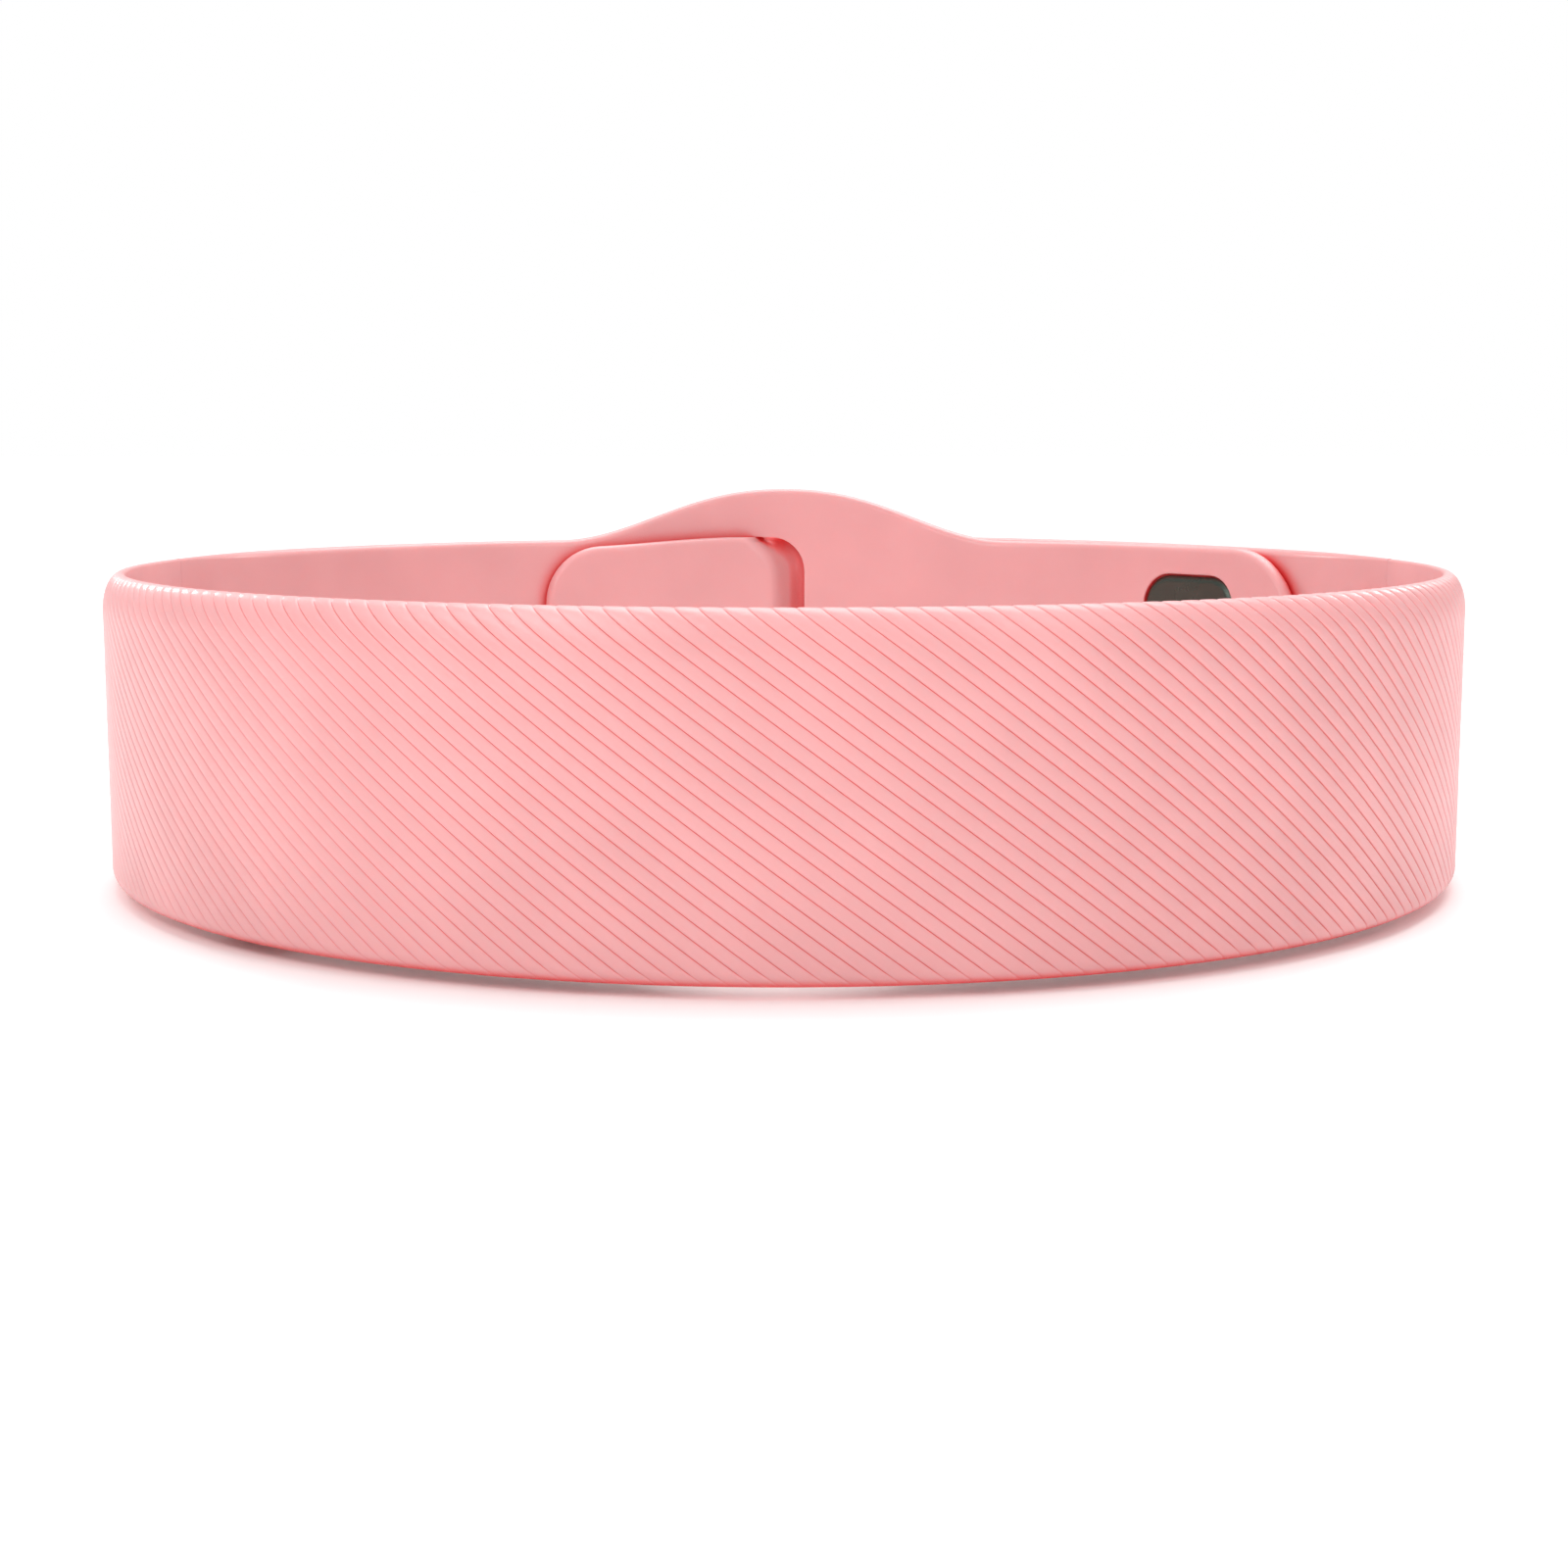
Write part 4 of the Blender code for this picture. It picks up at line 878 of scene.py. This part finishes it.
# %% The face plate
HOUSING_DEPTH = 10.5 * MM
DEEP_END, SHALLOW_START = 52.0, 66.0
FACE_PLATE, FACE_PLATE_END = 1.5 * MM, 69.8
NOSE_RISE, NOSE_REACH = 11.0 * MM, 12.0
EYE_TURN, EYE_HEIGHT = 20.5, HEIGHT / 2
OPENING = (40.0 * MM, 24.0 * MM, 8.0 * MM)
SCREW_RADIUS, SCREW_HEAD_RADIUS, SCREW_HEAD = 0.9 * MM, 1.8 * MM, 0.8 * MM
FACE_SCREWS = {
    "face_screw_centre": (0.0, 30.5 * MM),
    "face_screw_left_upper": (50.5, 34.2 * MM),
    "face_screw_left_lower": (50.5, 6.6 * MM),
    "face_screw_right_upper": (-50.5, 34.2 * MM),
    "face_screw_right_lower": (-50.5, 6.6 * MM),
}


def face_depth(turn, height=0.0):
    return HOUSING_DEPTH + (RIM - HOUSING_DEPTH) * smooth(abs(turn), DEEP_END, SHALLOW_START)


def housing_low(turn):
    share = min(1.0, abs(turn) / NOSE_REACH)
    return HOUSING_LOW + NOSE_RISE * (1 + cos(pi * share)) / 2


def face_section(turn):
    return soft_section(-FACE_PLATE, 0, housing_low(turn), HOUSING_HIGH, FACE_FLARE, rows=18)


face = bar(between(-FACE_PLATE_END, FACE_PLATE_END, 190), face_section, 1)
levels = flared(-FACE_PLATE, 0.0, FACE_FLARE)
cutters = [stack(*OPENING, levels, (side * way(EYE_TURN), EYE_HEIGHT), across=24, up=10)
           for side in (-1, 1)]
for turn, height in FACE_SCREWS.values():
    bore = SCREW_HEAD_RADIUS + CLEARANCE
    levels = [(0, -0.95 * MM), (0, -0.2 * MM), (0.2 * MM, 0), (0.2 * MM, 1 * MM)]
    cutters.append(stack(2 * bore, 2 * bore, bore, levels, (way(turn), height), bend=8))
    cutters.append(round_hole(way(turn), height, SCREW_RADIUS + 0.2 * MM, -FACE_PLATE, 0.0))
face = carve(face, cutters)
wrap(face, face_depth)
piece(face, "moulded_face_plate", "face_plate", "pink", 40)

# %% [markdown]
# ## Screws
#
# A small pan-head screw is a turned shape with a cross cut into its head. The thread is a row of
# rings, which at this size looks the same as a helix and is far simpler.

# %% Turned screws with a cross
THREAD_DEPTH, THREAD_CREST, SCREW_TIP = 0.16 * MM, 0.18 * MM, 0.4 * MM
CROSS = ((2.3 * MM, 0.5 * MM), (0.5 * MM, 2.3 * MM))


def pan_screw(name, node, turn, head_face, height, length):
    edge = 0.22 * MM
    profile = [(0, 0), (SCREW_HEAD_RADIUS * 0.6, -0.02 * MM)]
    profile += [(SCREW_HEAD_RADIUS - edge + edge * sin(radians(a)),
                 -edge - 0.05 * MM + edge * cos(radians(a))) for a in between(10, 90, 4)]
    profile += [(SCREW_HEAD_RADIUS, -SCREW_HEAD), (SCREW_RADIUS, -SCREW_HEAD)]
    for start in between(SCREW_HEAD + 0.5 * MM, length, 9):
        profile += [(SCREW_RADIUS - THREAD_DEPTH, -start), (SCREW_RADIUS, -start - THREAD_CREST)]
    profile += [(SCREW_RADIUS * 0.6, -length - SCREW_TIP), (0, -length - SCREW_TIP)]
    screw = turned(profile, (turn, head_face, height), 24)
    cross = [slab((along, 0.9 * MM, up), 0.08 * MM, (turn, head_face, height), 1)
             for along, up in CROSS]
    piece(carve(screw, cross), name, node, "steel", 30)


for node, (turn, height) in FACE_SCREWS.items():
    pan_screw(node + "_turned", node, turn, face_depth(turn) - 0.05 * MM, height, 4.4 * MM)
for side, turn in (("left", CLAMP_TURN), ("right", -CLAMP_TURN)):
    for place, height in zip(("lower", "upper"), CLAMP_HEIGHTS):
        node = f"{side}_clamp_screw_{place}"
        pan_screw(node + "_turned", node, turn, RIM + 2.1 * MM, height, 4.8 * MM)

# %% [markdown]
# ## Eye pads
#
# The pads that rest on the closed eyelids are moulded in the softest silicone. Each is a crowned
# cushion with a shallow dish for the eye, a fine bead round it and rows of low nubs, which spread
# the vibration. All of it is one stack of shrinking outlines, raised where a nub stands.

# %% Crowned pads with nubs
PAD = (46.0 * MM, 30.0 * MM, 11.0 * MM)
PAD_THICKNESS = 5.6 * MM
PAD_EDGE = 2.5 * MM
NUB_RADIUS, NUB_RISE = 1.7 * MM, 0.55 * MM
NUB_PITCH = (6.6 * MM, 5.2 * MM)
DISH, DISH_REACH = 0.9 * MM, (4.5 * MM, 13.0 * MM)
BEAD, BEAD_AT, BEAD_HALF = 0.28 * MM, 4.0 * MM, 0.7 * MM
CENTRE_STRIP = 0.7 * MM


def eye_pad_levels():
    side = PAD_THICKNESS - PAD_EDGE - 0.35 * MM
    levels = [(-0.5 * MM, 0.0), (-0.1 * MM, 0.15 * MM), (0.0, 0.6 * MM), (0.0, side)]
    levels += [(-PAD_EDGE * (1 - cos(radians(a))), side + PAD_EDGE * sin(radians(a)))
               for a in between(10, 80, 7)]
    for inset in between(PAD_EDGE, PAD[1] / 2 - CENTRE_STRIP, 26):
        dish = DISH * smooth(inset, *DISH_REACH)
        bead = BEAD * max(0.0, 1 - ((inset - BEAD_AT) / BEAD_HALF) ** 2)
        levels.append((-inset, side + PAD_EDGE + bead - dish))
    return levels


def nub_rise(x, z):
    """How far the nubs stand out at this place on the pad, in four staggered rows."""
    row = round(z / NUB_PITCH[1] - 0.5)
    shift = (row % 2) / 2
    column = round(x / NUB_PITCH[0] - shift) + shift
    if row not in (-2, -1, 0, 1) or abs(column) > 2:
        return 0.0
    away = sqrt((x - column * NUB_PITCH[0]) ** 2 + (z - (row + 0.5) * NUB_PITCH[1]) ** 2)
    return NUB_RISE * cos(min(1.0, away / NUB_RADIUS) * pi / 2) ** 2


def triangulate_caps(bm):
    """Splits the many-sided end faces, so that they follow when their corners are raised."""
    caps = [face for face in bm.faces if len(face.verts) > 4]
    bmesh.ops.triangulate(bm, faces=caps, quad_method="BEAUTY", ngon_method="BEAUTY")


for side, sign in (("left", 1), ("right", -1)):
    pad = stack(*PAD, eye_pad_levels(), across=40, up=12, bend=12)
    triangulate_caps(pad)
    for vertex in pad.verts:
        if vertex.co.y > PAD_THICKNESS - PAD_EDGE:
            vertex.co.y += nub_rise(vertex.co.x, vertex.co.z)
    bmesh.ops.translate(pad, vec=(sign * way(EYE_TURN), 0, EYE_HEIGHT), verts=pad.verts)
    wrap(pad, lambda turn, height: HOUSING_DEPTH + CLEARANCE)
    made = piece(pad, side + "_crowned_eye_pad", side + "_eye_pad", "pad", 60)

# %% [markdown]
# ## Temple pads and bridge pad
#
# A small cushion covers each strap clamp, so that no steel meets the temples. It is hollow
# where the clamp stands and has shallow grooves across it. A narrow arched strip does the same
# over the bridge of the nose.

# %% Temple pads
TEMPLE_PAD = (23.3 * MM, 31.5 * MM, 2.6 * MM)
TEMPLE_PAD_DEPTH = RIM + CLEARANCE
TEMPLE_RIM, TEMPLE_SWELL = 1.2 * MM, 2.3 * MM
CLAMP_HOLLOW = (6.2 * MM, 29 * MM, 2.0 * MM)
GROOVE_PITCH, GROOVE_DEPTH = 5.2 * MM, 0.35 * MM


def temple_pad_levels():
    levels = [(-0.3 * MM, 0.0), (0.0, 0.25 * MM), (0.0, 0.7 * MM)]
    levels += [(-0.5 * MM * (1 - cos(radians(a))), 0.7 * MM + 0.5 * MM * sin(radians(a)))
               for a in between(20, 80, 3)]
    insets = between(0.6 * MM, TEMPLE_PAD[0] / 2 * 0.97, 30)
    return levels + [(-inset, TEMPLE_RIM) for inset in insets]


def temple_crown(x, z):
    """How far the cushion swells at this place: slowly from its sides, fast from its two ends."""
    from_side = TEMPLE_PAD[0] / 2 - abs(x)
    from_end = TEMPLE_PAD[1] / 2 - abs(z)
    return TEMPLE_SWELL * smooth(from_side, 0.5 * MM, 5.6 * MM) * smooth(from_end, 0.5 * MM, 1.3 * MM)


for side, sign in (("left", 1), ("right", -1)):
    pad = stack(*TEMPLE_PAD, temple_pad_levels(), across=16, up=40, bend=6)
    triangulate_caps(pad)
    for vertex in pad.verts:
        x, y, z = vertex.co
        if y > TEMPLE_RIM - SLACK:
            crown = temple_crown(x, z)
            groove = max(0.0, cos(z / GROOVE_PITCH * tau)) ** 8
            vertex.co.y += crown - GROOVE_DEPTH * groove * smooth(crown, 1.0 * MM, TEMPLE_SWELL)
    middle = (sign * way(CLAMP_TURN), sum(CLAMP_HEIGHTS) / 2)
    bmesh.ops.translate(pad, vec=(middle[0], 0, middle[1]), verts=pad.verts)
    hollow = stack(*CLAMP_HOLLOW, [(0, -1 * MM), (0, 2.5 * MM)], middle, up=12)
    pad = wrap(carve(pad, [hollow]), lambda turn, height: TEMPLE_PAD_DEPTH)
    made = piece(pad, side + "_grooved_temple_pad", side + "_temple_pad", "pad", 50)

# %% Bridge pad
BRIDGE_END, BRIDGE_HEIGHT, BRIDGE_THICKNESS = 5.2, 8.0 * MM, 2.4 * MM


def bridge_section(turn):
    from_end = way(BRIDGE_END - abs(turn))
    come_in = narrowing(from_end, 2.5 * MM)
    thin = narrowing(from_end, 1.1 * MM) * 0.9
    low = housing_low(turn) + 1.0 * MM
    return soft_section(thin, BRIDGE_THICKNESS - thin, low + come_in, low + BRIDGE_HEIGHT - come_in,
                        1.05 * MM)


shares = [sin(radians(a)) for a in between(-90, 90, 36)]
bridge = bar([BRIDGE_END * share for share in shares], bridge_section, 1)
wrap(bridge, lambda turn, height: HOUSING_DEPTH + CLEARANCE)
piece(bridge, "arched_bridge_pad", "bridge_pad", "pad", 60)

# %% [markdown]
# ## Buttons and light
#
# Two keys stand a little proud of the cover on the wearer's left temple. A fingertip has to tell
# them apart unseen, so one carries a raised ring and the other a raised dot. A small clear lens
# below them shows that the massager is on.

# %% Keys with raised marks, and the lens
KEY_PROUD, KEY_INNER = 0.4 * MM, 1.4 * MM
KEY_EDGE = 0.4 * MM


def key_levels():
    levels = [(-0.2 * MM, KEY_INNER), (0.0, KEY_INNER - 0.2 * MM), (0.0, KEY_EDGE - KEY_PROUD)]
    levels += [(-KEY_EDGE * (1 - cos(radians(a))), KEY_EDGE * (1 - sin(radians(a))) - KEY_PROUD)
               for a in between(15, 90, 5)]
    levels += [(-inset, -KEY_PROUD) for inset in between(KEY_EDGE, BUTTON_SIZE[0] / 2 * 0.97, 18)[1:]]
    return levels


def raised_mark(name, x, z):
    away = sqrt(x * x + z * z) / MM
    if name == "power_button":
        return max(0.0, 1 - ((away - 1.15) / 0.35) ** 2)
    return max(0.0, 1 - (away / 0.75) ** 2)


for name, turn in BUTTON_TURNS.items():
    key = stack(*BUTTON_SIZE, 2.35 * MM, key_levels(), across=2, up=44, bend=12)
    for vertex in key.verts:
        if vertex.co.y < -KEY_PROUD * 0.9:
            vertex.co.y -= 0.16 * MM * raised_mark(name, vertex.co.x, vertex.co.z)
    bmesh.ops.transform(key, matrix=ring_frame(turn, 0, BUTTON_HEIGHT), verts=key.verts)
    piece(key, name + "_key", name, "pink", 35)

LENS_INNER, LENS_SHOULDER, LENS_DOME = 2.3 * MM, 0.5 * MM, 0.4 * MM
lens = [(0, LENS_INNER), (LENS_RADIUS - 0.1 * MM, LENS_INNER), (LENS_RADIUS, LENS_INNER - 0.1 * MM)]
lens += [(LENS_RADIUS, LENS_SHOULDER)]
lens += [(LENS_RADIUS * cos(radians(a)), LENS_SHOULDER - LENS_DOME * sin(radians(a)))
         for a in between(10, 90, 6)]
light_at = (BUTTON_TURNS["power_button"], 0, LIGHT_HEIGHT)
piece(turned(lens, light_at, 32), "status_lens", "status_light", "clear", 30)

# %% [markdown]
# ## Inner parts, refined from the frame
#
# What lies inside has the right shape already, but its edges are knife sharp. A copy of each
# solid is merged, its flat faces are made whole again, and every sharp edge gets a small bevel.
# Parts that are too thin for that keep their own mesh and only get their finish.

# %% Soften the edges of solid parts
def refined(name, node, look, edge, sharp=35):
    """A copy of a solid from the frame with its sharp edges bevelled."""
    bm = bmesh.new()
    bm.from_mesh(nodes[node].data)
    bmesh.ops.remove_doubles(bm, verts=bm.verts, dist=1e-6)
    bmesh.ops.dissolve_limit(
        bm, angle_limit=radians(0.5), use_dissolve_boundaries=False, verts=bm.verts, edges=bm.edges,
        delimit=set(),
    )
    edges = [e for e in bm.edges if e.is_manifold and e.calc_face_angle() > radians(sharp)]
    bmesh.ops.bevel(
        bm, geom=edges, offset=edge, offset_type="OFFSET", segments=2, profile=0.5,
        affect="EDGES", material=-1, clamp_overlap=True,
    )
    bmesh.ops.remove_doubles(bm, verts=bm.verts, dist=1e-7)
    return piece(bm, name, node, look, 30)


PLAIN = {
    "housing_shell": ("white", 0.25 * MM),
    "port_flap": ("pad", 0.20 * MM),
    "left_strap_clamp": ("steel", 0.10 * MM),
    "right_strap_clamp": ("steel", 0.10 * MM),
    "left_massage_plate": ("white", 0.20 * MM),
    "right_massage_plate": ("white", 0.20 * MM),
    "left_motor_can": ("steel", 0.15 * MM),
    "right_motor_can": ("steel", 0.15 * MM),
    "left_motor_weight": ("gunmetal", 0.12 * MM),
    "right_motor_weight": ("gunmetal", 0.12 * MM),
    "battery": ("battery", 0.15 * MM),
    "control_chip": ("dark", 0.08 * MM),
    "driver_chip": ("dark", 0.08 * MM),
    "charge_socket": ("steel", 0.08 * MM),
}
for node, (look, edge) in PLAIN.items():
    refined(node + "_softened", node, look, edge)

# %% Give the thin parts their finish
KEPT = {
    "board": ["control_board", "button_board", "port_board"],
    "dark": ["power_switch", "mode_switch", "socket_tongue"],
    "copper_film": ["left_heat_film", "right_heat_film", "button_ribbon"],
    "steel": ["left_motor_shaft", "right_motor_shaft"],
    "red_lead": ["battery_lead_red", "left_motor_lead", "right_motor_lead"],
    "black_lead": ["battery_lead_black"],
}
for look, kept in KEPT.items():
    for node in kept:
        solid = nodes[node]
        for place in solid.material_slots:
            place.material = finish[look]
print(sum(len(kept) for kept in KEPT.values()), "solids keep their own mesh")
